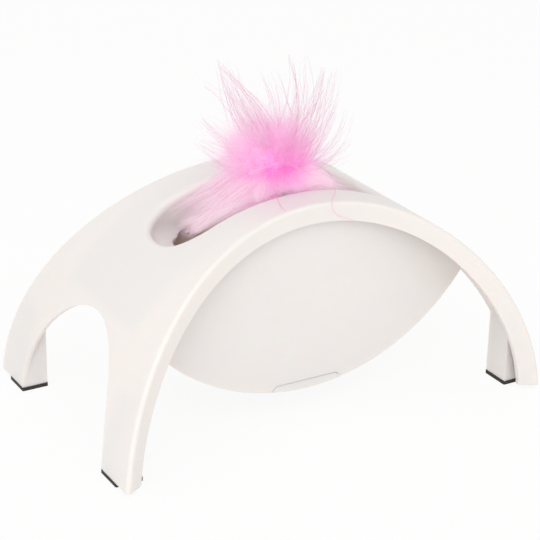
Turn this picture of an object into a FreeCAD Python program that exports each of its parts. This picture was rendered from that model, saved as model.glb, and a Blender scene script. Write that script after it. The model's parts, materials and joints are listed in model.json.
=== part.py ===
"""Battery cat toy: a white arch on four legs with a feather tuft that swings along its slot.

X runs along the arch, Y across it from the front face to the back, Z up from the floor.
The origin is on the floor under the middle of the arch. Sizes are in millimetres.
"""
import FreeCAD, Part
import math
import os
import re

from FreeCAD import Placement, Rotation, Vector

# Driving dimensions
SIZES = {
    # arch and its two moulded shells
    "arch_height": 141.1,
    "arch_radius": 150.9,
    "crown_width": 103.5,
    "flare_radius": 276.0,
    "skin": 2.5,
    "rim_depth": 12.1,
    "rim_wall": 3.0,
    "rim_round": 2.0,
    "fit_gap": 0.3,
    # end cut-outs, posts and feet
    "leg_width": 36.7,
    "cut_height": 76.5,
    "cut_reach": 112.0,
    "post_depth": 17.5,
    "post_width": 20.0,
    "post_wall": 2.0,
    "pad_thickness": 2.5,
    "pad_proud": 0.4,
    "plug_height": 5.0,
    "pad_round": 1.0,
    # slot in the crown and its well
    "slot_length": 168.0,
    "slot_width": 51.0,
    "slot_round": 4.0,
    "well_depth": 22.0,
    "well_hole_length": 138.0,
    "well_hole_width": 48.0,
    "ramp_rise": 3.8,
    "dish_radius": 8.0,
    # drive housing under the crown
    "housing_width": 92.5,
    "housing_low": 14.5,
    "housing_radius": 144.0,
    "boss_radius": 4.0,
    "pillar_offset": 7.5,
    "pillar_spread": 30.0,
    "pillar_foot_rise": 17.0,
    "seat_wall": 1.2,
    "seat_floor": 4.0,
    "rib_wall": 1.5,
    "rib_depth": 5.0,
    "rib_length": 200.0,
    "stand_hole": 9.0,
    # battery bay
    "cell_radius": 7.1,
    "cell_pitch": 14.6,
    "cell_length": 50.0,
    "bay_gap": 4.25,
    "bay_length": 56.0,
    "bay_clearance": 0.4,
    "cell_lift": 1.4,
    "tray_wall": 1.5,
    "tray_rib": 1.0,
    "trough_rise": 4.5,
    "ear_reach": 7.0,
    "ear_width": 8.0,
    "ear_thickness": 2.0,
    "door_rise": 5.7,
    "door_draft": 5.0,
    "door_back": 20.0,
    "door_wall": 2.0,
    "hook_spread": 12.0,
    "hook_width": 8.0,
    "hook_reach": 3.0,
    "hook_thickness": 1.8,
    "grip_radius": 0.6,
    "grip_length": 16.0,
    "grip_inset": 5.0,
    "grip_pitch": 2.4,
    "cell_tip": 1.0,
    "cell_tip_radius": 2.7,
    "spring_width": 6.0,
    "contact_thickness": 0.4,
    "contact_width": 9.6,
    "contact_height": 10.6,
    # gearbox
    "drive_gap": 7.2,
    "pivot_rise": 29.0,
    "swing": 40.0,
    "plate_gap": 25.0,
    "plate_thickness": 2.5,
    "plate_rise": 16.0,
    "plate_left": -80.0,
    "plate_right": 25.0,
    "plate_foot_right": 46.0,
    "plate_foot_rise": 12.0,
    "mount_left": -47.0,
    "mount_right": 38.0,
    "tab_length": 10.0,
    "tab_width": 12.0,
    "tab_thickness": 2.0,
    "spacer_left": 8.0,
    "spacer_right": 7.0,
    "spacer_low": 6.0,
    "spacer_drop": 9.0,
    "spacer_lift": 4.0,
    "spacer_radius": 3.0,
    "screw_radius": 1.25,
    "screw_play": 0.2,
    "head_height": 1.6,
    "cross_width": 0.6,
    "thread_depth": 14.0,
    "plate_grip": 5.0,
    "tap_spare": 1.0,
    "stand_grip": 7.0,
    "bearing_clearance": 0.05,
    "shaft_radius": 2.0,
    "pin_radius": 1.0,
    "bush_wall": 1.4,
    "flange_wall": 1.5,
    "flange_thickness": 1.0,
    "clip_wall": 2.0,
    "clip_thickness": 0.8,
    "clip_mouth": 2.4,
    # gears: teeth and modules
    "sector_teeth": 60,
    "sector_module": 1.0,
    "first_pinion_teeth": 12,
    "first_wheel_teeth": 36,
    "first_module": 0.8,
    "second_pinion_teeth": 10,
    "second_wheel_teeth": 30,
    "second_module": 0.6,
    "motor_pinion_teeth": 10,
    "train_angle": 200.0,
    "first_hub_radius": 3.0,
    "second_hub_radius": 2.2,
    "hub_play": 0.5,
    # motor
    "motor_radius": 10.0,
    "motor_flat": 7.5,
    "motor_gap": 1.15,
    "motor_cap": 2.2,
    "terminal_length": 2.4,
    "nose_radius": 3.0,
    "nose_length": 3.0,
    "motor_screw_spread": 6.0,
    "motor_screw_radius": 0.8,
    "motor_head_radius": 1.5,
    "motor_screw_grip": 3.0,
    "terminal_spread": 5.0,
    "terminal_width": 2.4,
    "terminal_thickness": 0.4,
    "shaft_end": 3.0,
    "shaft_in_can": 12.0,
    # arm and feather
    "hub_radius": 8.0,
    "hub_length": 16.0,
    "arm_width": 8.0,
    "arm_thickness": 6.0,
    "arm_pocket_wall": 1.5,
    "arm_pocket_floor": 0.8,
    "arm_pocket_gap": 2.0,
    "sector_spare": 11.0,
    "shaft_proud": 3.0,
    "socket_drop": 12.5,
    "socket_radius": 5.0,
    "socket_bore": 3.2,
    "socket_depth": 13.0,
    "socket_floor": 3.0,
    "plug_floor_gap": 1.0,
    "plug_clearance": 0.2,
    "collar_radius": 4.6,
    "collar_height": 6.0,
    "collar_gap": 0.3,
    "quill_radius": 1.6,
    "quill_sunk": 6.0,
    "quill_length": 26.0,
    "tuft_core_radius": 19.0,
    "tuft_core_height": 24.0,
    "plume_length": 92.0,
    "plume_width": 19.0,
    "plume_thickness": 0.9,
    "plume_start": 4.0,
    # control board and switch
    "board_length": 36.0,
    "board_width": 30.0,
    "board_thickness": 1.6,
    "board_left": 48.0,
    "board_lift": 11.0,
    "board_inset": 4.0,
    "switch_x": 63.0,
    "switch_lift": 18.0,
    "switch_travel": 4.0,
    "switch_half": 8.0,
    "switch_depth": 7.0,
    "switch_height": 8.0,
    "switch_play": 0.2,
    "switch_room_depth": 4.0,
    "pin_length": 3.0,
    "pin_spread": 3.0,
    "knob_base": 1.0,
    "knob_length": 5.0,
    "knob_height": 4.0,
    "knob_proud": 2.0,
    "groove_radius": 0.35,
    "groove_pitch": 1.4,
}

# Lengths that follow from the driving ones
AXIS_Z = "(arch_height - arch_radius)"
FOOT_X = f"sqrt(arch_radius^2 - {AXIS_Z}^2)"
FLARE_Y = "(crown_width / 2 + flare_radius)"
FOOT_Y = f"({FLARE_Y} - sqrt(flare_radius^2 - ({FOOT_X})^2))"
HOUSING_AXIS_Z = "(housing_low + housing_radius)"
UNDER_SKIN = "(arch_radius - skin - fit_gap)"
OVER = "20"
SPAN_Y = f"({FOOT_Y} + {OVER})"
CUT_HALF = f"({FOOT_Y} - leg_width)"
RAMP_RUN = "((slot_length - well_hole_length) / 2)"
RAMP_Z = f"({AXIS_Z} + sqrt(arch_radius^2 - (slot_length / 2)^2) - slot_round - fit_gap)"
DOOR_TOP = "(housing_low + door_rise)"
CELL_Z = f"({DOOR_TOP} + fit_gap + cell_lift + cell_radius)"
TRAY_TOP = f"({CELL_Z} + cell_radius + bay_clearance / 2 + tray_wall)"
SPRING_REACH = "(bay_length - cell_length - 2 * contact_thickness)"
PLATE_LOW = f"({TRAY_TOP} + drive_gap)"
PIVOT_Z = f"({PLATE_LOW} + pivot_rise)"
PLATE_HIGH = f"({PIVOT_Z} + plate_rise)"
BOARD_Z = f"({PLATE_LOW} + board_lift)"
SWITCH_Z = f"({BOARD_Z} + switch_lift)"
SOCKET_TOP = "(arch_height - socket_drop)"
PILLAR_X = "(slot_length / 2 + skin + pillar_offset)"
PILLAR_FOOT = f"({PLATE_LOW} + pillar_foot_rise)"
BAY_FRONT = "(skin + bay_gap - housing_width / 2)"
BAY_HALF = "(1.5 * cell_pitch + bay_clearance / 2)"
RIB_OUTER = "(housing_width / 2 - skin - fit_gap)"
PLATE_INNER = "(plate_gap / 2)"
PLATE_OUTER = "(plate_gap / 2 + plate_thickness)"
CAN_BACK = "(housing_width / 2 - skin - motor_gap - terminal_length - motor_cap)"
TAB_Y = f"({PLATE_OUTER} + tab_length / 2)"
EAR_X = f"({BAY_HALF} + ear_reach)"
TUFT_ROOT = f"({SOCKET_TOP} + collar_gap + collar_height)"
BUSH_OUTER = "(shaft_radius + bearing_clearance + bush_wall)"

# Heights well below the well and well above the arch, for cutting solids
BELOW = "(arch_height / 3)"
ABOVE = f"(arch_height + {OVER})"

# How far off a point may be and still count as on a surface
CLOSE = 0.02

# How a cylinder is turned to lie along each axis
TURNS = {"X": (Vector(0, 1, 0), 90), "Y": (Vector(1, 0, 0), -90), "Z": (Vector(0, 0, 1), 0)}

# Stands in the housing: the gearbox's four, the board's four and the tray's two
GEAR_STAND_X = ("mount_left", "mount_right")
STANDS = [(x, y, PLATE_LOW) for x in GEAR_STAND_X for y in (f"-{TAB_Y}", TAB_Y)]
STANDS += [(x, y, BOARD_Z) for x in ("board_left + board_inset", "board_left + board_length - board_inset")
           for y in ("-board_width / 2 + board_inset", "board_width / 2 - board_inset")]
STANDS += [(x, f"{BAY_FRONT} + bay_length / 2", f"{CELL_Z} - ear_thickness") for x in (f"-{EAR_X}", EAR_X)]

# Where each gear lies across the gearbox, from front to back
LAYERS = {
    "sector": ("-8", "-4"),
    "first_pinion": ("-9", "-2"),
    "first_wheel": ("-2", "2"),
    "second_pinion": ("-3", "4"),
    "second_wheel": ("4", "8"),
    "motor_pinion": ("3.5", "8.5"),
}

# Tooth shape in modules, its pressure angle in degrees and its share of the half pitch
ADDENDUM = 0.9
DEDENDUM = 1.2
PRESSURE_ANGLE = 22.5
TOOTH_SHARE = 0.86

# Rings of plumes: lean in degrees, share of the full length, how many
PLUME_RINGS = ((6, 1.0, 3), (20, 0.98, 6), (34, 0.93, 8), (48, 0.82, 9))
PLUME_WIDEST = 0.55

# Blocks on the board: from its left end, from its middle line, long, wide, high
BOARD_BLOCKS = {
    "chip": (13.0, -3.0, 9.0, 6.0, 1.6),
    "front_socket": (24.0, -12.0, 4.0, 8.0, 5.0),
    "back_socket": (24.0, 4.0, 4.0, 8.0, 5.0),
    "first_resistor": (9.0, -9.6, 2.0, 1.2, 0.6),
    "second_resistor": (13.0, -9.6, 2.0, 1.2, 0.6),
    "third_resistor": (17.0, -9.6, 2.0, 1.2, 0.6),
}
# Cans on the board: from its left end, from its middle line, radius, height
BOARD_CANS = {"first_capacitor": (12.0, 9.0, 2.5, 7.0), "second_capacitor": (20.0, 9.0, 2.5, 7.0)}

doc = FreeCAD.newDocument("FeatherArch")
sheet = doc.addObject("Spreadsheet::Sheet", "Sizes")
for row, (alias, size) in enumerate(SIZES.items(), start=1):
    sheet.set(f"A{row}", alias.replace("_", " "))
    sheet.set(f"B{row}", str(size))
    sheet.setAlias(f"B{row}", alias)
doc.recompute()

parts = {}


def sized(text):
    """Write the names of sizes as references to the sheet."""
    return re.sub(r"[a-z]\w+", lambda word: f"Sizes.{word[0]}" if word[0] in SIZES else word[0], text)


def value(text):
    """Work out one length from the sheet's sizes."""
    result = sheet.evalExpression(re.sub(r"\bSizes\.", "", sized(text)))
    return float(getattr(result, "Value", result))


def primitive(kind, name, start, turn=TURNS["Z"], **sizes):
    """Add a Part primitive with its sizes and its corner or end bound to the sheet."""
    item = doc.addObject("Part::" + kind, name)
    item.Placement = Placement(Vector(), Rotation(*turn))
    for label, text in sizes.items():
        item.setExpression(label, sized(text))
    for letter, text in zip("xyz", start):
        item.setExpression("Placement.Base." + letter, sized(text))
    return item


def box(name, x, y, z):
    """A box between two values along each axis."""
    return primitive("Box", name, (x[0], y[0], z[0]), Length=f"({x[1]}) - ({x[0]})",
                     Width=f"({y[1]}) - ({y[0]})", Height=f"({z[1]}) - ({z[0]})")


def rod(name, axis, radius, start, length):
    """A cylinder from start along one axis."""
    return primitive("Cylinder", name, start, TURNS[axis], Radius=radius, Height=length)


def fuse(name, *items):
    """Join solids that touch or overlap."""
    item = doc.addObject("Part::MultiFuse", name)
    item.Shapes = list(items)
    return item


def common(name, first, second):
    """What two solids share."""
    item = doc.addObject("Part::Common", name)
    item.Base = first
    item.Tool = second
    return item


def cut(name, base, *tools):
    """A solid with the tools taken away."""
    item = doc.addObject("Part::Cut", name)
    item.Base = base
    item.Tool = tools[0] if len(tools) == 1 else fuse(name + "_tools", *tools)
    return item


def mirrored(name, source, normal):
    """A copy on the other side of the middle plane with that normal."""
    item = doc.addObject("Part::Mirroring", name)
    item.Source = source
    item.Normal = normal
    return item


def four(name, source):
    """The source at one corner and its copies at the other three."""
    other_end = mirrored(name + "_other_end", source, Vector(1, 0, 0))
    other_side = mirrored(name + "_other_side", source, Vector(0, 1, 0))
    opposite = mirrored(name + "_opposite", other_end, Vector(0, 1, 0))
    return [source, other_end, other_side, opposite]


def group(name, *items):
    """Separate solids of one kind, kept together."""
    item = doc.addObject("Part::Compound", name)
    item.Links = list(items)
    return item


def feature(name, shape):
    """A solid whose outline is worked out here."""
    item = doc.addObject("Part::Feature", name)
    item.Shape = shape
    return item


def stadium(name, length, width, low, high):
    """An upright prism with round ends, centred on the origin in plan."""
    half = f"(({length}) - ({width})) / 2"
    tall = f"({high}) - ({low})"
    middle = box(name + "_middle", (f"-({half})", half), (f"-({width}) / 2", f"({width}) / 2"), (low, high))
    left = rod(name + "_left", "Z", f"({width}) / 2", (f"-({half})", "0", low), tall)
    right = rod(name + "_right", "Z", f"({width}) / 2", (half, "0", low), tall)
    return fuse(name, middle, left, right)


def name_part(label, item):
    """Give a finished piece its name."""
    item.Label = label
    parts[label] = item
    return item


# Solids that both shells are made from
def flared_block(name, inset):
    """The room between the concave front and back faces, less an inset."""
    half = f"({SPAN_Y} - ({inset}))"
    block = box(name + "_block", (f"-({FOOT_X}) - {OVER}", f"{FOOT_X} + {OVER}"), (f"-{half}", half),
                ("pad_thickness", f"arch_height + {OVER}"))
    radius = f"flare_radius + ({inset})"
    front = rod(name + "_front", "Z", radius, ("0", f"-{FLARE_Y}", "0"), f"arch_height + 2 * {OVER}")
    back = rod(name + "_back", "Z", radius, ("0", FLARE_Y, "0"), f"arch_height + 2 * {OVER}")
    return cut(name, block, front, back)


def arch_rod(name, radius):
    """A cylinder about the arch's axis."""
    return rod(name, "Y", radius, ("0", f"-{SPAN_Y}", AXIS_Z), f"2 * {SPAN_Y}")


def arch_ring(name, outer, inner):
    """A ring about the arch's axis."""
    return cut(name, arch_rod(name + "_outer", outer), arch_rod(name + "_inner", inner))


def end_cut(name, grow):
    """The prism of both end cut-outs, an upright half ellipse on the legs' feet."""
    across = value(f"{CUT_HALF} + {grow}")
    tall = value(f"cut_height - pad_thickness + {grow}")
    centre = Vector(value("cut_reach") - value(grow), 0, value("pad_thickness"))
    tips = sorted([Vector(0, across, 0), Vector(0, 0, tall)], key=lambda tip: tip.Length, reverse=True)
    ellipse = Part.Ellipse(centre + tips[0], centre + tips[1], centre)
    face = Part.Face(Part.Wire(ellipse.toShape()))
    right = face.extrude(Vector(value(FOOT_X), 0, 0))
    left = right.mirror(Vector(), Vector(1, 0, 0))
    return feature(name, Part.makeCompound([right, left]))


def above_ramps(name, lower):
    """The room above the two ramps that lead down from the slot's ends."""
    angle = math.degrees(math.atan2(value("ramp_rise"), value(RAMP_RUN)))
    far = f"(slot_length / 2 + {RAMP_RUN})"
    start_z = f"{RAMP_Z} + ramp_rise - ({lower})"
    shared = "(well_hole_length / 4)"
    ramp = primitive("Box", name + "_ramp", (f"-{far}", "-slot_width", start_z), (Vector(0, 1, 0), angle),
                     Length=f"{far} - {shared}", Width="2 * slot_width", Height="arch_height / 2")
    middle = box(name + "_middle", (f"-{shared} - {OVER} / 2", f"{shared} + {OVER} / 2"),
                 ("-slot_width", "slot_width"), (f"{RAMP_Z} - 2 * well_depth", f"{RAMP_Z} + 2 * well_depth"))
    return fuse(name, middle, ramp, mirrored(name + "_other", ramp, Vector(1, 0, 0)))


def dished_well(name, grow, radius):
    """The slot's room down to its ramps, grown by a wall, with the ramps' sides rounded into a dish."""
    plan = stadium(name + "_plan", f"slot_length + 2 * ({grow})", f"slot_width + 2 * ({grow})", BELOW, ABOVE)
    room = common(name + "_room", plan, above_ramps(name + "_ramps", grow))
    half_length = value(f"slot_length / 2 + {grow}")
    half_width = value(f"slot_width / 2 + {grow}")

    def ramp_side(edge):
        """Whether an edge runs along the foot of the wall, on a ramp."""
        middle = edge.valueAt((edge.FirstParameter + edge.LastParameter) / 2)
        slope = value("ramp_rise") / value(RAMP_RUN)
        on_ramp = abs(middle.z - value(f"{RAMP_Z} - ({grow})")
                      + slope * (value("slot_length / 2") - abs(middle.x))) < CLOSE
        beyond = max(0.0, abs(middle.x) - (half_length - half_width))
        on_wall = abs(math.hypot(beyond, middle.y) - half_width) < CLOSE
        return on_ramp and on_wall

    return round_edges(name, room, ramp_side, radius)


def round_edges(name, base, pick, radius):
    """Round the edges that pick chooses."""
    doc.recompute()
    item = doc.addObject("Part::Fillet", name)
    item.Base = base
    numbered = enumerate(base.Shape.Edges, start=1)
    item.Edges = [(index, radius, radius) for index, edge in numbered if pick(edge)]
    return item


def far_out(point, reach):
    """How far a point is from the arch's axis, against a radius."""
    return abs(math.hypot(point.x, point.z - value(AXIS_Z)) - reach)


# Upper shell: skin, front and back bands, cut-out walls, slot well and screw bosses
def upper_shell():
    """The arch's skin with its bands, well, posts, ribs and screw bosses."""
    outside = common("arch_solid", arch_rod("arch_round", "arch_radius"), flared_block("arch_plan", "0"))

    def outer_edge(edge):
        """Whether an edge runs along the arch's outside, above its soles."""
        middle = edge.valueAt((edge.FirstParameter + edge.LastParameter) / 2)
        return far_out(middle, value("arch_radius")) < CLOSE and middle.z > value("pad_thickness") + CLOSE

    rounded = round_edges("arch_rounded", outside, outer_edge, value("rim_round"))
    hollow = common("arch_hollow", arch_rod("arch_hollow_round", "arch_radius - skin"),
                    flared_block("arch_hollow_plan", "rim_wall"))
    skin = cut("arch_skin", rounded, arch_rod("arch_opening", "arch_radius - rim_depth"), hollow)
    well_ring = arch_ring("well_ring", "arch_radius - skin / 2", "arch_radius - well_depth")
    well_outside = dished_well("well_outside", "skin", value("dish_radius + skin"))
    well_wall = common("well_wall", well_outside, well_ring)
    well_cut = dished_well("well_inside", "0", value("dish_radius"))
    well_hole = stadium("well_hole", "well_hole_length", "well_hole_width", BELOW, ABOVE)
    under_skin = common("under_skin", arch_rod("under_skin_round", "arch_radius - skin / 2"),
                        flared_block("under_skin_plan", "rim_wall"))
    post = box("post", (f"{FOOT_X} - post_depth", FOOT_X), (CUT_HALF, f"{CUT_HALF} + post_width"),
               ("pad_thickness", "arch_height / 2"))
    post_room = box("post_room", (f"{FOOT_X} - post_depth + post_wall", FOOT_X),
                    (f"{CUT_HALF} + post_wall", f"{CUT_HALF} + post_width - post_wall"),
                    ("0", "arch_height / 2"))
    posts = cut("posts", common("post_blocks", fuse("post_set", *four("post_copy", post)), under_skin),
                common("post_rooms", fuse("post_room_set", *four("post_room_copy", post_room)),
                       arch_rod("post_room_top", "arch_radius - skin")))
    rib = box("rib", ("-rib_length / 2", "rib_length / 2"),
              (f"{RIB_OUTER} - rib_wall", RIB_OUTER), (BELOW, "arch_height"))
    ribs = common("ribs", fuse("rib_set", rib, mirrored("rib_other", rib, Vector(0, 1, 0))),
                  arch_ring("rib_ring", "arch_radius - skin / 2", "arch_radius - skin - rib_depth"))
    walls = fuse("upper_walls", skin, posts, ribs, well_wall)
    body = cut("upper_body", walls, end_cut("cut_prism", "0"), well_cut, well_hole)

    def lip_edge(edge):
        """Whether an edge runs round the slot's mouth."""
        middle = edge.valueAt((edge.FirstParameter + edge.LastParameter) / 2)
        inside = (abs(middle.x) <= value("slot_length / 2") + CLOSE
                  and abs(middle.y) <= value("slot_width / 2") + CLOSE)
        return inside and far_out(middle, value("arch_radius")) < CLOSE

    lipped = round_edges("upper_lipped", body, lip_edge, value("slot_round"))
    pillar = rod("pillar", "Z", "boss_radius", (PILLAR_X, "pillar_spread", f"{PILLAR_FOOT} + fit_gap"),
                 "arch_height")
    bosses = common("bosses", fuse("boss_rods", *four("pillar_copy", pillar)), under_skin)
    thread = rod("pillar_thread", "Z", "screw_radius", (PILLAR_X, "pillar_spread", f"{PILLAR_FOOT} - skin"),
                 "thread_depth + skin")
    name_part("upper_shell", cut("upper_shell_solid", fuse("upper_with_bosses", lipped, bosses),
                                 *four("pillar_thread_copy", thread)))


# Lower shell: the lens-shaped drive housing, closed above by the arch
def lower_shell():
    """The housing with its stands, pillar seats, door opening and switch opening."""
    housing_round = rod("housing_round", "Y", "housing_radius", ("0", "-housing_width / 2", HOUSING_AXIS_Z),
                        "housing_width")
    housing = common("housing", housing_round, arch_rod("housing_top", UNDER_SKIN))
    room_round = rod("room_round", "Y", "housing_radius - skin",
                     ("0", "-housing_width / 2 + skin", HOUSING_AXIS_Z), "housing_width - 2 * skin")
    room = common("room", room_round, arch_rod("room_top", "arch_radius"))
    hollow = cut("lower_hollow", housing, cut("room_less_cuts", room, end_cut("cut_guard", "skin")))
    plain = cut("lower_plain", hollow, end_cut("cut_inner", "0"))
    # bosses that stand in the housing
    stand_room = common("stand_room", rod("stand_round", "Y", "housing_radius - skin / 2",
                                          ("0", "-housing_width / 2 + skin / 2", HOUSING_AXIS_Z),
                                          "housing_width - skin"), arch_rod("stand_top", UNDER_SKIN))
    stands = []
    for count, (x, y, top) in enumerate(STANDS):
        stands.append(rod(f"stand_{count}", "Z", "boss_radius", (x, y, "0"), top))
    seat = rod("pillar_seat", "Z", "boss_radius + seat_wall", (PILLAR_X, "pillar_spread", "0"), PILLAR_FOOT)
    stands += four("pillar_seat_copy", seat)
    bossed = fuse("lower_bossed", plain, common("stands", fuse("stand_rods", *stands), stand_room))
    holes = []
    for count, (x, y, top) in enumerate(STANDS):
        holes.append(rod(f"stand_hole_{count}", "Z", "screw_radius", (x, y, f"({top}) - stand_hole"),
                         "stand_hole + skin"))
    pillar_bore = rod("pillar_bore", "Z", "screw_radius + fit_gap", (PILLAR_X, "pillar_spread", "0"),
                      f"{PILLAR_FOOT} + skin")
    pillar_head = rod("pillar_head", "Z", "2 * screw_radius + 2 * fit_gap", (PILLAR_X, "pillar_spread", "0"),
                      f"{PILLAR_FOOT} - seat_floor")
    holes += four("pillar_bore_copy", pillar_bore) + four("pillar_head_copy", pillar_head)
    # opening for the battery door, and the switch's slot in the back wall
    holes.append(door_prism("door_opening", "fit_gap"))
    holes.append(box("switch_opening", ("switch_x - knob_length / 2 - fit_gap",
                                        "switch_x + knob_length / 2 + switch_travel + fit_gap"),
                     ("housing_width / 2 - 2 * skin", "housing_width / 2 + skin"),
                     (f"{SWITCH_Z} - knob_height / 2 - fit_gap", f"{SWITCH_Z} + knob_height / 2 + fit_gap")))
    name_part("lower_shell", cut("lower_shell_solid", bossed, *holes))


def door_prism(name, gap):
    """The battery door's wedge, wider at the bottom, grown by a gap."""
    top = value(f"{DOOR_TOP} + {gap}")
    low = value("housing_low - skin")
    spread = value("door_draft") * (top - low) / value("door_rise")
    half = value(f"{BAY_HALF} + {gap}")
    front = value("-housing_width / 2") - (value("skin") if value(gap) else 0.0)
    back = value(f"door_back + {gap}")

    def outline(z, wider):
        """The wedge's outline in plan at one height."""
        side = half + wider
        points = [(-side, front), (side, front), (side, back), (-side, back)]
        return Part.makePolygon([Vector(x, y, z) for x, y in points + points[:1]])
    return feature(name, Part.makeLoft([outline(low, spread), outline(top, 0.0)], True, True))


def battery_door():
    """The door's shell with its two hooks and three grip grooves."""
    start = ("0", "-housing_width / 2", HOUSING_AXIS_Z)
    wedge = common("door_wedge", door_prism("door_outline", "0"),
                   rod("door_round", "Y", "housing_radius", start, "housing_width"))
    pocket_box = box("door_pocket_box", (f"-{BAY_HALF} + door_wall", f"{BAY_HALF} - door_wall"),
                     ("-housing_width / 2 + door_wall", "door_back - door_wall"),
                     ("housing_low", f"{DOOR_TOP} + skin"))
    pocket = common("door_pocket", pocket_box,
                    rod("door_pocket_round", "Y", "housing_radius - door_wall", start, "housing_width"))
    hooks = []
    for count, x in enumerate(("-hook_spread", "hook_spread")):
        hooks.append(box(f"door_hook_{count}", (f"{x} - hook_width / 2", f"{x} + hook_width / 2"),
                         ("door_back - hook_reach", "door_back + hook_reach"),
                         (f"{DOOR_TOP} - hook_thickness", DOOR_TOP)))
    grip = [rod(f"door_grip_{count}", "X", "grip_radius",
                ("-grip_length / 2", f"-housing_width / 2 + grip_inset + {count} * grip_pitch",
                 "housing_low - grip_radius / 3"), "grip_length") for count in range(3)]
    hooked = fuse("door_with_hooks", cut("door_shell", wedge, pocket), *hooks)
    name_part("battery_door", cut("door_solid", hooked, *grip))


def foot_pads():
    """Four rubber pads, each with a plug in its post."""
    slab = box("pad_slab", (f"{FOOT_X} - post_depth - pad_proud", FOOT_X),
               (f"{CUT_HALF} - pad_proud", f"{CUT_HALF} + post_width + pad_proud"), ("0", "pad_thickness"))
    pad = round_edges("pad_round_edges", slab, lambda edge: abs(edge.tangentAt(edge.FirstParameter).z) > 0.9,
                      value("pad_round"))
    inset = "post_wall + plug_clearance"
    plug = box("pad_plug", (f"{FOOT_X} - post_depth + {inset}", f"{FOOT_X} - skin - 4 * plug_clearance"),
               (f"{CUT_HALF} + {inset}", f"{CUT_HALF} + post_width - ({inset})"),
               ("pad_thickness / 2", "pad_thickness + plug_height"))
    under_arch = arch_rod("pad_plug_round", "arch_radius - skin - plug_clearance")
    plugged = fuse("pad_with_plug", pad, common("pad_plug_room", plug, under_arch))
    labels = ("foot_pad_back_right", "foot_pad_back_left", "foot_pad_front_right", "foot_pad_front_left")
    for label, copy in zip(labels, four("pad_copy", plugged)):
        name_part(label, copy)


def battery_bay():
    """The tray, three cells laid in turn, their springs and contact plates."""
    back = f"({BAY_FRONT} + bay_length)"
    middle_y = f"{BAY_FRONT} + bay_length / 2"
    outer = box("tray_outer", (f"-{BAY_HALF} - tray_wall", f"{BAY_HALF} + tray_wall"),
                (f"{BAY_FRONT} - tray_wall", f"{back} + tray_wall"), (f"{DOOR_TOP} + fit_gap", TRAY_TOP))
    room = box("tray_room", (f"-{BAY_HALF}", BAY_HALF), (BAY_FRONT, back), ("0", f"{TRAY_TOP} - tray_wall"))
    ribs = [box(f"tray_rib_{count}", (f"{x} - tray_rib / 2", f"{x} + tray_rib / 2"), (BAY_FRONT, back),
                (f"{CELL_Z} + trough_rise", f"{TRAY_TOP} - tray_wall / 2"))
            for count, x in enumerate(("-cell_pitch / 2", "cell_pitch / 2"))]
    ears = []
    bores = []
    for count, x in enumerate((f"-{EAR_X}", EAR_X)):
        ears.append(box(f"tray_ear_{count}", (f"{x} - ear_reach", f"{x} + ear_reach"),
                        (f"{middle_y} - ear_width / 2", f"{middle_y} + ear_width / 2"),
                        (f"{CELL_Z} - ear_thickness", CELL_Z)))
        bores.append(rod(f"tray_ear_bore_{count}", "Z", "screw_radius + screw_play",
                         (x, middle_y, f"{CELL_Z} - 2 * ear_thickness"), "4 * ear_thickness"))
    joined = fuse("tray_joined", outer, *ears, *ribs)
    name_part("battery_tray", cut("tray_solid", joined, *bores, tray_troughs(room)))
    springs = []
    plates = []
    for count, label in enumerate(("battery_cell_left", "battery_cell_middle", "battery_cell_right")):
        x = f"{count - 1} * cell_pitch"
        turned = count == 1
        tip_start = f"{BAY_FRONT} + contact_thickness" if turned else f"{back} - contact_thickness - cell_tip"
        can_start = f"{tip_start} + cell_tip" if turned else f"{back} - contact_thickness - cell_length"
        can = rod(f"cell_can_{count}", "Y", "cell_radius", (x, can_start, CELL_Z), "cell_length - cell_tip")
        tip = rod(f"cell_tip_{count}", "Y", "cell_tip_radius", (x, tip_start, CELL_Z), "cell_tip")
        name_part(label, fuse(f"cell_{count}", can, tip))
        springs.append(bow_spring(f"cell_spring_{count}", x, turned))
        for end, wall in (("front", BAY_FRONT), ("back", f"{back} - contact_thickness")):
            plates.append(box(f"contact_{end}_{count}",
                              (f"{x} - contact_width / 2", f"{x} + contact_width / 2"),
                              (wall, f"{wall} + contact_thickness"),
                              (f"{CELL_Z} - contact_height / 2", f"{CELL_Z} + contact_height / 2")))
    name_part("contact_springs", group("spring_group", *springs))
    name_part("contact_plates", group("plate_group", *plates))


def tray_troughs(room):
    """Room for the cells under the tray's roof, with a rib left between two cells."""
    low = box("tray_low_room", (f"-{BAY_HALF}", BAY_HALF), (BAY_FRONT, f"{BAY_FRONT} + bay_length"),
              ("0", f"{CELL_Z} + trough_rise"))
    rods = [rod(f"trough_{count}", "Y", "cell_radius + bay_clearance / 2",
                (f"{count - 1} * cell_pitch", BAY_FRONT, CELL_Z), "bay_length") for count in range(3)]
    return common("tray_space", fuse("trough_set", low, *rods), room)


def bow_spring(name, x, turned):
    """A bent strip between a contact plate and a cell's flat end."""
    if turned:
        wall = f"({BAY_FRONT} + bay_length - contact_thickness)"
        room_y = (f"{wall} - {SPRING_REACH} - contact_thickness", wall)
    else:
        wall = f"({BAY_FRONT} + contact_thickness)"
        room_y = (wall, f"{wall} + {SPRING_REACH} + contact_thickness")
    start = (f"{x} - spring_width / 2", wall, CELL_Z)
    outer = rod(name + "_outer", "X", SPRING_REACH, start, "spring_width")
    inner = rod(name + "_inner", "X", f"{SPRING_REACH} - contact_thickness", start, "spring_width")
    room = box(name + "_room", (f"{x} - spring_width", f"{x} + spring_width"), room_y,
               (f"{CELL_Z} - cell_radius", f"{CELL_Z} + cell_radius"))
    return common(name, cut(name + "_ring", outer, inner), room)


# Gears
def tooth_radius(teeth, module, share):
    """Radius of a tooth circle: share is the addendum (or minus the dedendum) in modules."""
    return value(teeth) * value(module) / 2 + share * value(module)


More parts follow.
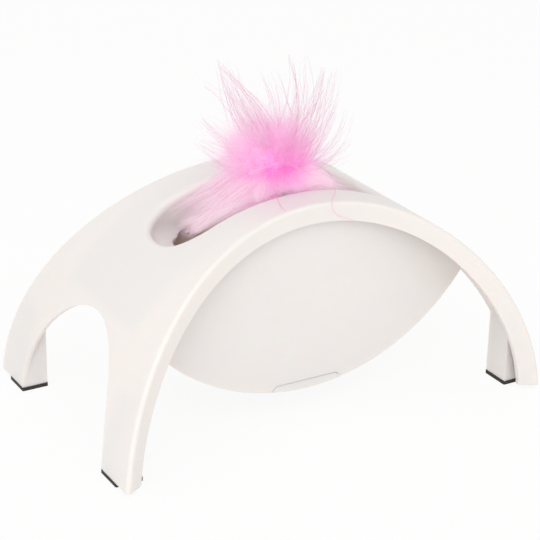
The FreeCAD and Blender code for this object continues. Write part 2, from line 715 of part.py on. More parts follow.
def gear_outline(teeth, module, first_angle, span=None):
    """Face of a spur gear in the XZ plane, with involute flanks drawn as three-point arcs."""
    count = int(value(teeth))
    pitch = tooth_radius(teeth, module, 0)
    tip = tooth_radius(teeth, module, ADDENDUM)
    root = tooth_radius(teeth, module, -DEDENDUM)
    base = pitch * math.cos(math.radians(PRESSURE_ANGLE))
    half_pitch_tooth = math.pi / (2 * count) * TOOTH_SHARE

    def involute(radius):
        """How far the involute has turned at a radius."""
        angle = math.acos(min(1.0, base / max(radius, base)))
        return math.tan(angle) - angle

    def half_tooth(radius):
        """Half a tooth's angle at a radius."""
        return half_pitch_tooth + involute(pitch) - involute(radius)

    def point(radius, angle):
        """A point in the XZ plane."""
        return Vector(radius * math.cos(angle), 0, radius * math.sin(angle))

    step = 2 * math.pi / count
    number = count if span is None else span
    edges = []
    last = None
    for tooth in range(number):
        middle = math.radians(first_angle) + step * (tooth - (0 if span is None else (number - 1) / 2))
        low = max(root, base)
        between = (low + tip) / 2
        rise = [point(root, middle - half_tooth(low)), point(between, middle - half_tooth(between)),
                point(tip, middle - half_tooth(tip))]
        fall = [point(tip, middle + half_tooth(tip)), point(between, middle + half_tooth(between)),
                point(root, middle + half_tooth(low))]
        if last is not None:
            edges.append(Part.makeLine(last, rise[0]))
        first = rise[0] if last is None else first
        edges.append(Part.Arc(*rise).toShape())
        edges.append(Part.makeLine(rise[2], fall[0]))
        edges.append(Part.Arc(*fall).toShape())
        last = fall[2]
    if span is None:
        edges.append(Part.makeLine(last, first))
    else:
        inner = value("hub_radius - hub_play")
        start = math.atan2(last.z, last.x)
        stop = math.atan2(first.z, first.x)
        edges.append(Part.makeLine(last, point(inner, start)))
        edges.append(Part.makeLine(point(inner, start), point(inner, stop)))
        edges.append(Part.makeLine(point(inner, stop), first))
    return Part.Face(Part.Wire(edges))


def gear(name, teeth, module, first_angle, centre, low, high, span=None):
    """A spur gear or toothed sector between two Y values, about a centre (x, z)."""
    face = gear_outline(teeth, module, first_angle, span)
    solid = face.extrude(Vector(0, value(high) - value(low), 0))
    solid.translate(Vector(centre[0], value(low), centre[1]))
    return feature(name, solid)


def train_centres():
    """Centres (x, z) of the pivot, both compound gears and the motor shaft."""
    pivot = (0.0, value(PIVOT_Z))
    first_reach = value("(sector_teeth + first_pinion_teeth) * sector_module / 2")
    first = (pivot[0] - first_reach, pivot[1])
    angle = math.radians(value("train_angle"))
    second_reach = value("(first_wheel_teeth + second_pinion_teeth) * first_module / 2")
    second = (first[0] + second_reach * math.cos(angle), first[1] + second_reach * math.sin(angle))
    motor_reach = value("(second_wheel_teeth + motor_pinion_teeth) * second_module / 2")
    motor = (second[0] + motor_reach * math.cos(angle), second[1] + motor_reach * math.sin(angle))
    return pivot, first, second, motor


def at(spot, y):
    """The three coordinates of a shaft's end."""
    return (str(round(spot[0], 6)), y, str(round(spot[1], 6)))


def through_bore(name, radius, spot):
    """A rod along Y through the whole gearbox."""
    return rod(name, "Y", radius, at(spot, f"-{PLATE_OUTER} - {OVER}"), f"2 * ({PLATE_OUTER} + {OVER})")


def gear_train():
    """Both compound gears on their pins, and the motor's pinion on its shaft."""
    first, second, motor_spot = train_centres()[1:]
    angle = value("train_angle")
    back = angle - 180
    # first compound gear: a pinion in mesh with the arm's sector and a wheel
    half_tooth = 180 / value("first_pinion_teeth")
    wheel_back = LAYERS["first_wheel"][1]
    first_parts = [gear("first_pinion", "first_pinion_teeth", "sector_module", half_tooth, first,
                        *LAYERS["first_pinion"]),
                   gear("first_wheel", "first_wheel_teeth", "first_module", angle, first,
                        *LAYERS["first_wheel"]),
                   rod("first_hub", "Y", "first_hub_radius", at(first, wheel_back),
                       f"{PLATE_INNER} - hub_play - ({wheel_back})")]
    bore = through_bore("first_bore", "pin_radius + bearing_clearance", first)
    name_part("first_gear", cut("first_gear_solid", fuse("first_gear_joined", *first_parts), bore))
    # second compound gear, with its hub towards the front plate
    half_tooth = 180 / value("second_pinion_teeth")
    pinion_front = LAYERS["second_pinion"][0]
    second_parts = [gear("second_pinion", "second_pinion_teeth", "first_module", back + half_tooth, second,
                         *LAYERS["second_pinion"]),
                    gear("second_wheel", "second_wheel_teeth", "second_module", angle, second,
                         *LAYERS["second_wheel"]),
                    rod("second_hub", "Y", "second_hub_radius", at(second, f"-{PLATE_INNER} + hub_play"),
                        f"{PLATE_INNER} - hub_play + ({pinion_front})")]
    bore = through_bore("second_bore", "pin_radius + bearing_clearance", second)
    name_part("second_gear", cut("second_gear_solid", fuse("second_gear_joined", *second_parts), bore))
    for label, spot in (("first_gear_pin", first), ("second_gear_pin", second)):
        start = at(spot, f"-{PLATE_OUTER}")
        name_part(label, rod(label + "_rod", "Y", "pin_radius", start, f"2 * {PLATE_OUTER}"))
    half_tooth = 180 / value("motor_pinion_teeth")
    pinion = gear("motor_pinion_ring", "motor_pinion_teeth", "second_module", back + half_tooth, motor_spot,
                  *LAYERS["motor_pinion"])
    name_part("motor_pinion", cut("motor_pinion_solid", pinion,
                                  through_bore("motor_pinion_bore", "pin_radius", motor_spot)))
    name_part("motor_shaft", rod("motor_shaft_rod", "Y", "pin_radius", at(motor_spot, "shaft_end"),
                                 f"{PLATE_OUTER} + shaft_in_can"))


def motor():
    """The motor's can with its nose, its end cap and terminals."""
    spot = train_centres()[3]
    x, z = str(spot[0]), str(spot[1])

    def slab(name, low, high):
        """A cylinder with two flats, as the can of a small motor has."""
        rounded = rod(name + "_round", "Y", "motor_radius", at(spot, low), f"({high}) - ({low})")
        flats = box(name + "_flats", (f"{x} - 2 * motor_radius", f"{x} + 2 * motor_radius"), (low, high),
                    (f"{z} - motor_flat", f"{z} + motor_flat"))
        return common(name, rounded, flats)

    can = slab("can_block", PLATE_OUTER, CAN_BACK)
    nose = rod("can_nose", "Y", "nose_radius", at(spot, f"{PLATE_OUTER} - nose_length / 2"), "nose_length")
    shaft_room = rod("can_bore", "Y", "pin_radius + bearing_clearance", at(spot, "0"),
                     f"{PLATE_OUTER} + shaft_end + shaft_in_can + tap_spare")
    taps = [rod(f"can_tap_{count}", "Y", "motor_screw_radius", at((spot[0] + side, spot[1]), PLATE_INNER),
                "plate_thickness + motor_screw_grip + tap_spare")
            for count, side in enumerate(motor_screw_sides())]
    name_part("motor_can", cut("can_solid", fuse("can_joined", can, nose), shaft_room, *taps))
    name_part("motor_end_cap", slab("end_cap", CAN_BACK, f"{CAN_BACK} + motor_cap"))
    terminals = []
    for count, side in enumerate(("-terminal_spread", "terminal_spread")):
        terminals.append(box(f"terminal_{count}",
                             (f"{x} + {side} - terminal_width / 2", f"{x} + {side} + terminal_width / 2"),
                             (f"{CAN_BACK} + motor_cap", f"{CAN_BACK} + motor_cap + terminal_length"),
                             (f"{z} - terminal_thickness / 2", f"{z} + terminal_thickness / 2")))
    name_part("motor_terminals", group("terminal_group", *terminals))


def motor_screw_sides():
    """How far each motor screw lies to the side of the motor's shaft."""
    spread = value("motor_screw_spread")
    return (-spread, spread)


def screw(name, axis, spot, length, head_radius="2 * screw_radius", radius="screw_radius", sign=1):
    """A pan-head screw with a cross recess. The spot is under its head, and sign turns it about."""
    x, y, z = spot
    head_start, shank_start = {1: ("-head_height", "0"), -1: ("0", f"-({length})")}[sign]
    recess_start = "-2 * head_height" if sign == 1 else "head_height / 2"
    recess_depth = "1.5 * head_height"

    def moved(offset):
        """The spot moved along the screw's axis."""
        return (x, f"({y}) + ({offset})", z) if axis == "Y" else (x, y, f"({z}) + ({offset})")

    def span(middle, half):
        """From half a width before the middle to half a width after it."""
        return (f"({middle}) - {half}", f"({middle}) + {half}")

    head = rod(name + "_head", axis, head_radius, moved(head_start), "head_height")
    shank = rod(name + "_shank", axis, radius, moved(shank_start), length)
    narrow = "cross_width / 2"
    wide = f"({head_radius}) * 0.7"
    slots = []
    low = moved(recess_start)[1 if axis == "Y" else 2]
    deep = (low, f"{low} + {recess_depth}")
    for turn, (one, other) in enumerate(((narrow, wide), (wide, narrow))):
        across = (deep, span(z, other)) if axis == "Y" else (span(y, other), deep)
        slots.append(box(f"{name}_slot_{turn}", span(x, one), *across))
    return cut(name, fuse(name + "_joined", head, shank), *slots)


def gearbox_plate(label, side, spacers):
    """One plate of the gearbox with its foot, tabs and bores; side is -1 in front and 1 behind."""
    pivot, first, second, motor_spot = train_centres()
    near, far = (f"{side} * {PLATE_INNER}", f"{side} * {PLATE_OUTER}")
    low, high = (near, far) if side == 1 else (far, near)
    main = box(label + "_main", ("plate_left", "plate_right"), (low, high), (PLATE_LOW, PLATE_HIGH))
    foot = box(label + "_foot", ("plate_left", "plate_foot_right"), (low, high),
               (PLATE_LOW, f"{PLATE_LOW} + plate_foot_rise"))
    tab_y = (far, f"{far} + tab_length") if side == 1 else (f"{far} - tab_length", far)
    tabs = []
    bores = [through_bore(f"{label}_bush_bore", BUSH_OUTER, pivot),
             through_bore(f"{label}_first_bore", "pin_radius", first),
             through_bore(f"{label}_second_bore", "pin_radius", second)]
    for count, x in enumerate(GEAR_STAND_X):
        tabs.append(box(f"{label}_tab_{count}", (f"{x} - tab_width / 2", f"{x} + tab_width / 2"), tab_y,
                        (PLATE_LOW, f"{PLATE_LOW} + tab_thickness")))
        bores.append(rod(f"{label}_tab_bore_{count}", "Z", "screw_radius + screw_play",
                         (x, f"{side} * {TAB_Y}", f"{PLATE_LOW} - tab_thickness"), "3 * tab_thickness"))
    for count, spot in enumerate(spacers):
        bores.append(through_bore(f"{label}_spacer_bore_{count}", "screw_radius", spot))
    if side == 1:
        bores.append(through_bore(f"{label}_motor_bore", "nose_radius + bearing_clearance", motor_spot))
        for count, offset in enumerate(motor_screw_sides()):
            bores.append(through_bore(f"{label}_motor_screw_{count}", "motor_screw_radius",
                                      (motor_spot[0] + offset, motor_spot[1])))
    name_part(label, cut(label + "_solid", fuse(label + "_joined", main, foot, *tabs), *bores))


def gearbox():
    """Both plates, the spacers between them, every screw of the gearbox and the arm's bushes."""
    pivot, first, second, motor_spot = train_centres()
    left = value("plate_left + spacer_left")
    right = value("plate_right - spacer_right")
    low = value(f"{PLATE_LOW} + spacer_low")
    spacers = [(left, value(f"{PLATE_HIGH} - spacer_drop")), (left, low),
               (right, value(f"{PIVOT_Z} + spacer_lift")), (right, low)]
    gearbox_plate("gearbox_front_plate", -1, spacers)
    gearbox_plate("gearbox_back_plate", 1, spacers)
    posts = []
    screws = []
    for count, spot in enumerate(spacers):
        post = rod(f"spacer_{count}", "Y", "spacer_radius", at(spot, f"-{PLATE_INNER}"), "plate_gap")
        tap_depth = "plate_grip + tap_spare"
        taps = [rod(f"spacer_{count}_tap_{end}", "Y", "screw_radius", at(spot, start), tap_depth)
                for end, start in enumerate((f"-{PLATE_INNER}", f"{PLATE_INNER} - ({tap_depth})"))]
        posts.append(cut(f"spacer_{count}_solid", post, *taps))
        for end, start, sign in (("front", f"-{PLATE_OUTER}", 1), ("back", PLATE_OUTER, -1)):
            screws.append(screw(f"spacer_screw_{end}_{count}", "Y", at(spot, start),
                                "plate_thickness + plate_grip", sign=sign))
    name_part("gearbox_spacers", group("spacer_group", *posts))
    name_part("gearbox_screws", group("gearbox_screw_group", *screws))
    motor_screws = []
    for count, offset in enumerate(motor_screw_sides()):
        start = at((motor_spot[0] + offset, motor_spot[1]), PLATE_INNER)
        motor_screws.append(screw(f"motor_screw_{count}", "Y", start, "plate_thickness + motor_screw_grip",
                                  "motor_head_radius", "motor_screw_radius"))
    name_part("motor_screws", group("motor_screw_group", *motor_screws))
    bushes = []
    for count, (start, flange) in enumerate(((f"-{PLATE_OUTER}", f"-{PLATE_INNER}"),
                                             (PLATE_INNER, f"{PLATE_INNER} - flange_thickness"))):
        sleeve = rod(f"bush_sleeve_{count}", "Y", BUSH_OUTER, at(pivot, start), "plate_thickness")
        collar = rod(f"bush_collar_{count}", "Y", f"{BUSH_OUTER} + flange_wall", at(pivot, flange),
                     "flange_thickness")
        bore = through_bore(f"bush_bore_{count}", "shaft_radius + bearing_clearance", pivot)
        bushes.append(cut(f"bush_{count}", fuse(f"bush_joined_{count}", sleeve, collar), bore))
    name_part("arm_bushes", group("bush_group", *bushes))
    mounts = [screw(f"gearbox_mount_screw_{count}", "Z", (x, y, f"{PLATE_LOW} + tab_thickness"),
                    "stand_grip + tap_spare", sign=-1) for count, (x, y, top) in enumerate(STANDS[:4])]
    name_part("gearbox_mount_screws", group("gearbox_mount_screw_group", *mounts))


def feather_arm():
    """The arm with its toothed sector and socket, its shaft and the clips on it."""
    pivot = train_centres()[0]
    socket_low = f"{SOCKET_TOP} - socket_depth"
    hub = rod("arm_hub", "Y", "hub_radius", at(pivot, "-hub_length / 2"), "hub_length")
    half_span = value("swing + sector_spare")
    teeth = 2 * int(half_span * value("sector_teeth") / 360) + 1
    sector = gear("arm_sector", "sector_teeth", "sector_module", 180, pivot, *LAYERS["sector"], teeth)
    bar = box("arm_bar", ("-arm_width / 2", "arm_width / 2"), ("-arm_thickness / 2", "arm_thickness / 2"),
              (PIVOT_Z, f"{socket_low} - socket_floor / 3"))
    pocket = box("arm_pocket", ("-arm_width / 2 + arm_pocket_wall", "arm_width / 2 - arm_pocket_wall"),
                 ("arm_pocket_floor", "arm_thickness"),
                 (f"{PIVOT_Z} + hub_radius + arm_pocket_gap",
                  f"{socket_low} - socket_floor - arm_pocket_gap"))
    socket = rod("arm_socket", "Z", "socket_radius", ("0", "0", f"{socket_low} - socket_floor"),
                 "socket_depth + socket_floor")
    socket_bore = rod("arm_socket_bore", "Z", "socket_bore", ("0", "0", socket_low),
                      f"socket_depth + {OVER}")
    hub_bore = through_bore("arm_hub_bore", "shaft_radius", pivot)
    joined = fuse("arm_joined", hub, sector, bar, socket)
    name_part("feather_arm", cut("arm_solid", joined, socket_bore, hub_bore, pocket))
    shaft_start = at(pivot, f"-{PLATE_OUTER} - shaft_proud")
    name_part("arm_shaft", rod("arm_shaft_rod", "Y", "shaft_radius", shaft_start,
                               f"2 * {PLATE_OUTER} + 2 * shaft_proud"))
    clips = []
    clip_starts = (f"-{PLATE_OUTER} - 2 * clip_thickness", f"{PLATE_OUTER} + clip_thickness")
    for count, start in enumerate(clip_starts):
        ring = rod(f"clip_ring_{count}", "Y", "shaft_radius + clip_wall", at(pivot, start), "clip_thickness")
        bore = through_bore(f"clip_bore_{count}", "shaft_radius", pivot)
        mouth = box(f"clip_mouth_{count}", ("-clip_mouth / 2", "clip_mouth / 2"),
                    (f"{start} - clip_thickness", f"{start} + 2 * clip_thickness"),
                    (f"{PIVOT_Z} - shaft_radius - 2 * clip_wall", PIVOT_Z))
        clips.append(cut(f"clip_{count}", ring, bore, mouth))
    name_part("shaft_clips", group("clip_group", *clips))


def feather():
    """The collar that plugs into the arm, the quill, and the tuft of plumes about its core."""
    plug_start = ("0", "0", f"{SOCKET_TOP} - socket_depth + plug_floor_gap")
    plug = rod("collar_plug", "Z", "socket_bore - plug_clearance", plug_start,
               "socket_depth - plug_floor_gap + collar_gap + collar_height / 2")
    collar_start = ("0", "0", f"{SOCKET_TOP} + collar_gap")
    collar = rod("collar_ring", "Z", "collar_radius", collar_start, "collar_height")
    quill_start = ("0", "0", f"{SOCKET_TOP} - quill_sunk")
    quill_room = rod("collar_room", "Z", "quill_radius", quill_start, f"quill_length + {OVER}")
    name_part("feather_collar", cut("collar_solid", fuse("collar_joined", plug, collar), quill_room))
    name_part("feather_quill", rod("quill_rod", "Z", "quill_radius", quill_start, "quill_length"))
    core = primitive("Ellipsoid", "tuft_core", ("0", "0", f"{TUFT_ROOT} + tuft_core_height"),
                     Radius1="tuft_core_height", Radius2="tuft_core_radius", Radius3="tuft_core_radius")
    plumes = []
    for ring, (lean, share, count) in enumerate(PLUME_RINGS):
        for number in range(count):
            turn = 360.0 * (number + 0.5 * (ring % 2)) / count
            plumes.append(plume(f"plume_{ring}_{number}", value(TUFT_ROOT), lean, turn, share))
    quill_hole = rod("tuft_quill_hole", "Z", "quill_radius", quill_start, "quill_length")
    name_part("feather_tuft", cut("tuft_solid", fuse("tuft_joined", core, *plumes), quill_hole))


def plume(name, root_z, lean, turn, share):
    """A leaf-shaped blade for one plume, leaning out from the tuft's root."""
    length = value("plume_length") * share
    half = value("plume_width") / 2
    thickness = value("plume_thickness")
    start = Vector(0, -thickness / 2, value("plume_start"))
    end = Vector(0, -thickness / 2, length)
    middle = length * PLUME_WIDEST
    sides = [Part.Arc(start, Vector(side * half, -thickness / 2, middle), end).toShape() for side in (-1, 1)]
    blade = Part.Face(Part.Wire(sides)).extrude(Vector(0, thickness, 0))
    blade.rotate(Vector(), Vector(1, 0, 0), -lean)
    blade.rotate(Vector(), Vector(0, 0, 1), turn)
    blade.translate(Vector(0, 0, root_z))
    return feature(name, blade)


def control_board():
    """The board with its parts, its screws and the tray's screws."""
    top = f"({BOARD_Z} + board_thickness)"
    slab = box("board_slab", ("board_left", "board_left + board_length"),
               ("-board_width / 2", "board_width / 2"), (BOARD_Z, top))
    bores = [rod(f"board_bore_{count}", "Z", "screw_radius + screw_play",
                 (x, y, f"{BOARD_Z} - board_thickness"), "3 * board_thickness")
             for count, (x, y, height) in enumerate(STANDS[4:8])]
    name_part("control_board", cut("board_solid", slab, *bores))
    blocks = [box(name, (f"board_left + {x}", f"board_left + {x + length}"), (str(y), str(y + width)),
                  (top, f"{top} + {height}")) for name, (x, y, length, width, height) in BOARD_BLOCKS.items()]
    cans = [rod(name, "Z", str(radius), (f"board_left + {x}", str(y), top), str(height))
            for name, (x, y, radius, height) in BOARD_CANS.items()]
    name_part("board_parts", group("board_part_group", *blocks, *cans))
    screws = [screw(f"board_screw_{count}", "Z", (x, y, top), "stand_grip", sign=-1)
              for count, (x, y, height) in enumerate(STANDS[4:8])]
    name_part("board_screws", group("board_screw_group", *screws))
    tray = [screw(f"tray_screw_{count}", "Z", (x, y, CELL_Z), "stand_grip", sign=-1)
            for count, (x, y, height) in enumerate(STANDS[8:])]
    name_part("tray_screws", group("tray_screw_group", *tray))


def switch():
    """The slide switch behind the back wall, and its knob."""
    wall = "(housing_width / 2 - skin)"
    knob_z = (f"{SWITCH_Z} - knob_height / 2", f"{SWITCH_Z} + knob_height / 2")
    body = box("switch_block", ("switch_x - switch_half", "switch_x + switch_half + switch_travel"),
               (f"{wall} - switch_depth", f"{wall} - switch_play"),
               (f"{SWITCH_Z} - switch_height / 2", f"{SWITCH_Z} + switch_height / 2"))
    room = box("switch_room", ("switch_x - knob_length / 2 - knob_base - fit_gap",
                               "switch_x + knob_length / 2 + knob_base + switch_travel + fit_gap"),
               (f"{wall} - switch_room_depth", wall), (f"{knob_z[0]} - fit_gap", f"{knob_z[1]} + fit_gap"))
    pins = []
    for count, x in enumerate(("switch_x - pin_spread", "switch_x + switch_travel / 2",
                               "switch_x + switch_travel + pin_spread")):
        pins.append(box(f"switch_pin_{count}", (f"{x} - contact_thickness", f"{x} + contact_thickness"),
                        (f"{wall} - switch_depth - pin_length", f"{wall} - switch_depth"),
                        (f"{SWITCH_Z} - contact_thickness / 2", f"{SWITCH_Z} + contact_thickness / 2")))
    name_part("switch_body", fuse("switch_body_solid", cut("switch_case", body, room), *pins))
    inner = f"{wall} - switch_room_depth + fit_gap"
    stem = box("knob_stem", ("switch_x - knob_length / 2", "switch_x + knob_length / 2"),
               (inner, "housing_width / 2 + knob_proud"), knob_z)
    base = box("knob_base_plate",
               ("switch_x - knob_length / 2 - knob_base", "switch_x + knob_length / 2 + knob_base"),
               (inner, f"{wall} - 2 * switch_play"), knob_z)
    grooves = [rod(f"knob_groove_{count}", "Z", "groove_radius",
                   (f"switch_x + {count - 1} * groove_pitch", "housing_width / 2 + knob_proud",
                    f"{SWITCH_Z} - knob_height"), "2 * knob_height") for count in range(3)]
    name_part("switch_knob", cut("knob_solid", fuse("knob_joined", stem, base), *grooves))


def shell_screws():
    """Four screws from below, through the seats of the housing into the bosses of the arch."""
    under_head = (PILLAR_X, "pillar_spread", f"{PILLAR_FOOT} - seat_floor")
    one = screw("pillar_screw", "Z", under_head, "thread_depth")
    name_part("shell_screws", group("shell_screw_group", *four("pillar_screw_copy", one)))


upper_shell()
lower_shell()
battery_door()
foot_pads()
battery_bay()
gear_train()
motor()
gearbox()
feather_arm()
feather()
control_board()
switch()
shell_screws()
doc.recompute()

faults = [item.Name for item in doc.Objects if {"Invalid", "Error"} & set(item.State)]
faults += [label for label, item in parts.items() if item.Shape.isNull() or not item.Shape.isValid()]
if faults:
    raise RuntimeError("these objects failed: " + ", ".join(faults))

os.makedirs("parts", exist_ok=True)
for label, item in parts.items():
    item.Shape.exportStep(f"parts/{label}.step")
    print(f"{label}: {len(item.Shape.Solids)} solids, {item.Shape.Volume / 1000:.2f} cm3")
print(len(parts), "nodes")
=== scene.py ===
"""A white moulded arch for cats with a pink marabou tuft that swings along the slot in its crown.

The shells, the mechanism and the feet are the frame's own nodes and get their finishes here. The tuft is
modelled here, barb by barb, and stands for the frame's plain one. Lengths are in metres where no name
says mm.
"""

import json
import logging
import math
import random
from dataclasses import dataclass, field
from enum import Enum

import bmesh
import bpy
from mathutils import Matrix, Vector, geometry, noise

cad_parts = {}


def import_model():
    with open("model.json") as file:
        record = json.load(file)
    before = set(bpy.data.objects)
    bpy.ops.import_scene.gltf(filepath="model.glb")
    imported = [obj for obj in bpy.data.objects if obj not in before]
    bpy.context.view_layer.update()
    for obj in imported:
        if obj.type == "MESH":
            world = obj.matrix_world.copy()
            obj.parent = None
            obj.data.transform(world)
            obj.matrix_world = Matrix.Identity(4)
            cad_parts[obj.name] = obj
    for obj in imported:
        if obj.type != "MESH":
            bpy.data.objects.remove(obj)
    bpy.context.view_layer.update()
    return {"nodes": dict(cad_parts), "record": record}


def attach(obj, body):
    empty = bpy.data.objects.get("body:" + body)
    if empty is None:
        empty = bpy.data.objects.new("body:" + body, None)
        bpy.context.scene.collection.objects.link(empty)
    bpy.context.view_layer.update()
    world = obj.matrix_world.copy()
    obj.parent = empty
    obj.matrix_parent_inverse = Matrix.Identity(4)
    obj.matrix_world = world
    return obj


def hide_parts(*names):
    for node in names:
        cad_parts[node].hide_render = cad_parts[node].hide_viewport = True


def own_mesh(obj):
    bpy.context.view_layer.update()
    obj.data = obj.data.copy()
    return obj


LOG = logging.getLogger("feather_arch")
MM = 0.001
UP = Vector((0.0, 0.0, 1.0))

# The arch's round crown: its radius, and how far its middle lies under the floor
ARCH_RADIUS_MM = 150.9
ARCH_DROP_MM = 9.8
# The tuft's barbs are drawn from this seed, so that they come out the same each time
TUFT_SEED = 41
# A colour mix takes its two colours here, because their names are those of its number sockets too
FIRST_COLOUR = 6
SECOND_COLOUR = 7
# Most of what a noise texture gives lies between these
NOISE_LOW = 0.3
NOISE_HIGH = 0.7


def crown_height_mm(x_mm: float) -> float:
    """Return how high the arch's skin lies at this distance along it from its middle, in millimetres."""
    return math.sqrt(ARCH_RADIUS_MM ** 2 - x_mm ** 2) - ARCH_DROP_MM


def linear(hex_colour: str) -> tuple[float, float, float, float]:
    """Turn an sRGB hex colour to linear.

    Args:
        hex_colour: six hex digits, such as "f4efeb".

    Returns:
        Red, green, blue and an alpha of one.
    """
    channels = [int(hex_colour[start:start + 2], 16) / 255 for start in (0, 2, 4)]
    return (*[((c + 0.055) / 1.055) ** 2.4 if c > 0.04045 else c / 12.92 for c in channels], 1.0)


def per_metre(feature_mm: float) -> float:
    """Return a texture scale whose features have this size in millimetres."""
    return 1000.0 / feature_mm


def add_node(tree: bpy.types.NodeTree, kind: str, inputs: dict | None = None,
             **settings: object) -> bpy.types.Node:
    """Add one node with its settings, and set or link its inputs.

    Args:
        tree: the material's or world's node tree.
        kind: the node's Blender type.
        inputs: what each input gets, a value or another node's output socket.
        settings: attributes of the node itself.

    Returns:
        The new node.
    """
    node = tree.nodes.new(kind)
    for key, setting in settings.items():
        setattr(node, key, setting)
    for socket, source in (inputs or {}).items():
        if isinstance(source, bpy.types.NodeSocket):
            tree.links.new(source, node.inputs[socket])
        else:
            node.inputs[socket].default_value = source
    return node


def blank_material(name: str) -> tuple[bpy.types.Material, bpy.types.NodeTree, bpy.types.NodeSocket]:
    """Make an empty node material.

    Args:
        name: the material's name.

    Returns:
        The material, its node tree and the socket of the object's own coordinates.
    """
    material = bpy.data.materials.new(name)
    material.use_nodes = True
    tree = material.node_tree
    tree.nodes.clear()
    place = add_node(tree, "ShaderNodeTexCoord")
    return material, tree, place.outputs["Object"]


def place_mesh(name: str, form: bmesh.types.BMesh, material: bpy.types.Material,
               smooth: bool = True) -> bpy.types.Object:
    """Turn a finished bmesh into an object that sits at the origin.

    Args:
        name: the object's and the mesh's name.
        form: the finished bmesh, which is freed.
        material: its one material.
        smooth: whether its faces are shaded smooth.

    Returns:
        The new object.
    """
    mesh = bpy.data.meshes.new(name)
    form.to_mesh(mesh)
    form.free()
    mesh.materials.append(material)
    mesh.polygons.foreach_set("use_smooth", [smooth] * len(mesh.polygons))
    piece = bpy.data.objects.new(name, mesh)
    bpy.context.scene.collection.objects.link(piece)
    return piece


@dataclass(frozen=True)
class Moulded:
    """Injection-moulded plastic or rubber: even colour with slow flow tones and a fine sparked grain.

    Some light enters a thin wall and comes out again beside: glow_through is its share, glow_mm how far it
    goes, and glow_reach how far red, green and blue go against that.
    """

    name: str
    colour: str
    deep_colour: str
    roughness: float
    roughness_spread: float
    grain_mm: float
    grain_height_mm: float
    flow_mm: float = 45.0
    ior: float = 1.53
    coat: float = 0.0
    glow_through: float = 0.0
    glow_mm: float = 4.0
    glow_reach: tuple[float, float, float] = (1.0, 0.62, 0.45)

    def build(self) -> bpy.types.Material:
        """Lay the flow tones, the grain and the gloss on one shader.

        Returns:
            The finished material.
        """
        material, tree, place = blank_material(self.name)
        flow = add_node(tree, "ShaderNodeTexNoise", {"Vector": place, "Scale": per_metre(self.flow_mm),
                                                     "Detail": 3.0, "Roughness": 0.55})
        tone = add_node(tree, "ShaderNodeMix", {"Factor": flow.outputs["Fac"],
                                                FIRST_COLOUR: linear(self.colour),
                                                SECOND_COLOUR: linear(self.deep_colour)}, data_type="RGBA")
        grain = add_node(tree, "ShaderNodeTexNoise", {"Vector": place, "Scale": per_metre(self.grain_mm),
                                                      "Detail": 2.0, "Roughness": 0.6})
        gloss = add_node(tree, "ShaderNodeMapRange", {"Value": flow.outputs["Fac"], "From Min": NOISE_LOW,
                                                      "From Max": NOISE_HIGH,
                                                      "To Min": self.roughness - self.roughness_spread,
                                                      "To Max": self.roughness + self.roughness_spread})
        bump = add_node(tree, "ShaderNodeBump", {"Height": grain.outputs["Fac"], "Strength": 1.0,
                                                 "Distance": self.grain_height_mm * MM})
        shader = add_node(tree, "ShaderNodeBsdfPrincipled",
                          {"Base Color": tone.outputs[2], "Roughness": gloss.outputs["Result"],
                           "Normal": bump.outputs["Normal"], "IOR": self.ior, "Coat Weight": self.coat,
                           "Subsurface Weight": self.glow_through, "Subsurface Scale": self.glow_mm * MM,
                           "Subsurface Radius": self.glow_reach})
        add_node(tree, "ShaderNodeOutputMaterial", {"Surface": shader.outputs["BSDF"]})
        return material


@dataclass(frozen=True)
class Metal:
    """Bare or plated metal with fine drawn or turned lines, duller in some lines than in others."""

    name: str
    colour: str
    dull_colour: str
    roughness: float
    line_mm: float
    stretch: tuple[float, float, float]
    line_height_mm: float = 0.004
    dull_share: float = 0.3

    def build(self) -> bpy.types.Material:
        """Draw the lines into the colour, the gloss and the bump.

        Returns:
            The finished material.
        """
        material, tree, place = blank_material(self.name)
        stretched = add_node(tree, "ShaderNodeMapping", {"Vector": place, "Scale": self.stretch})
        lines = add_node(tree, "ShaderNodeTexNoise", {"Vector": stretched.outputs["Vector"],
                                                      "Scale": per_metre(self.line_mm), "Detail": 4.0})
        tone = add_node(tree, "ShaderNodeMix", {"Factor": lines.outputs["Fac"],
                                                FIRST_COLOUR: linear(self.colour),
                                                SECOND_COLOUR: linear(self.dull_colour)}, data_type="RGBA")
        gloss = add_node(tree, "ShaderNodeMapRange", {"Value": lines.outputs["Fac"],
                                                      "To Min": self.roughness * (1.0 - self.dull_share),
                                                      "To Max": self.roughness * (1.0 + self.dull_share)})
        bump = add_node(tree, "ShaderNodeBump", {"Height": lines.outputs["Fac"], "Strength": 1.0,
                                                 "Distance": self.line_height_mm * MM})
        shader = add_node(tree, "ShaderNodeBsdfPrincipled",
                          {"Base Color": tone.outputs[2], "Metallic": 1.0,
                           "Roughness": gloss.outputs["Result"], "Normal": bump.outputs["Normal"]})
        add_node(tree, "ShaderNodeOutputMaterial", {"Surface": shader.outputs["BSDF"]})
        return material


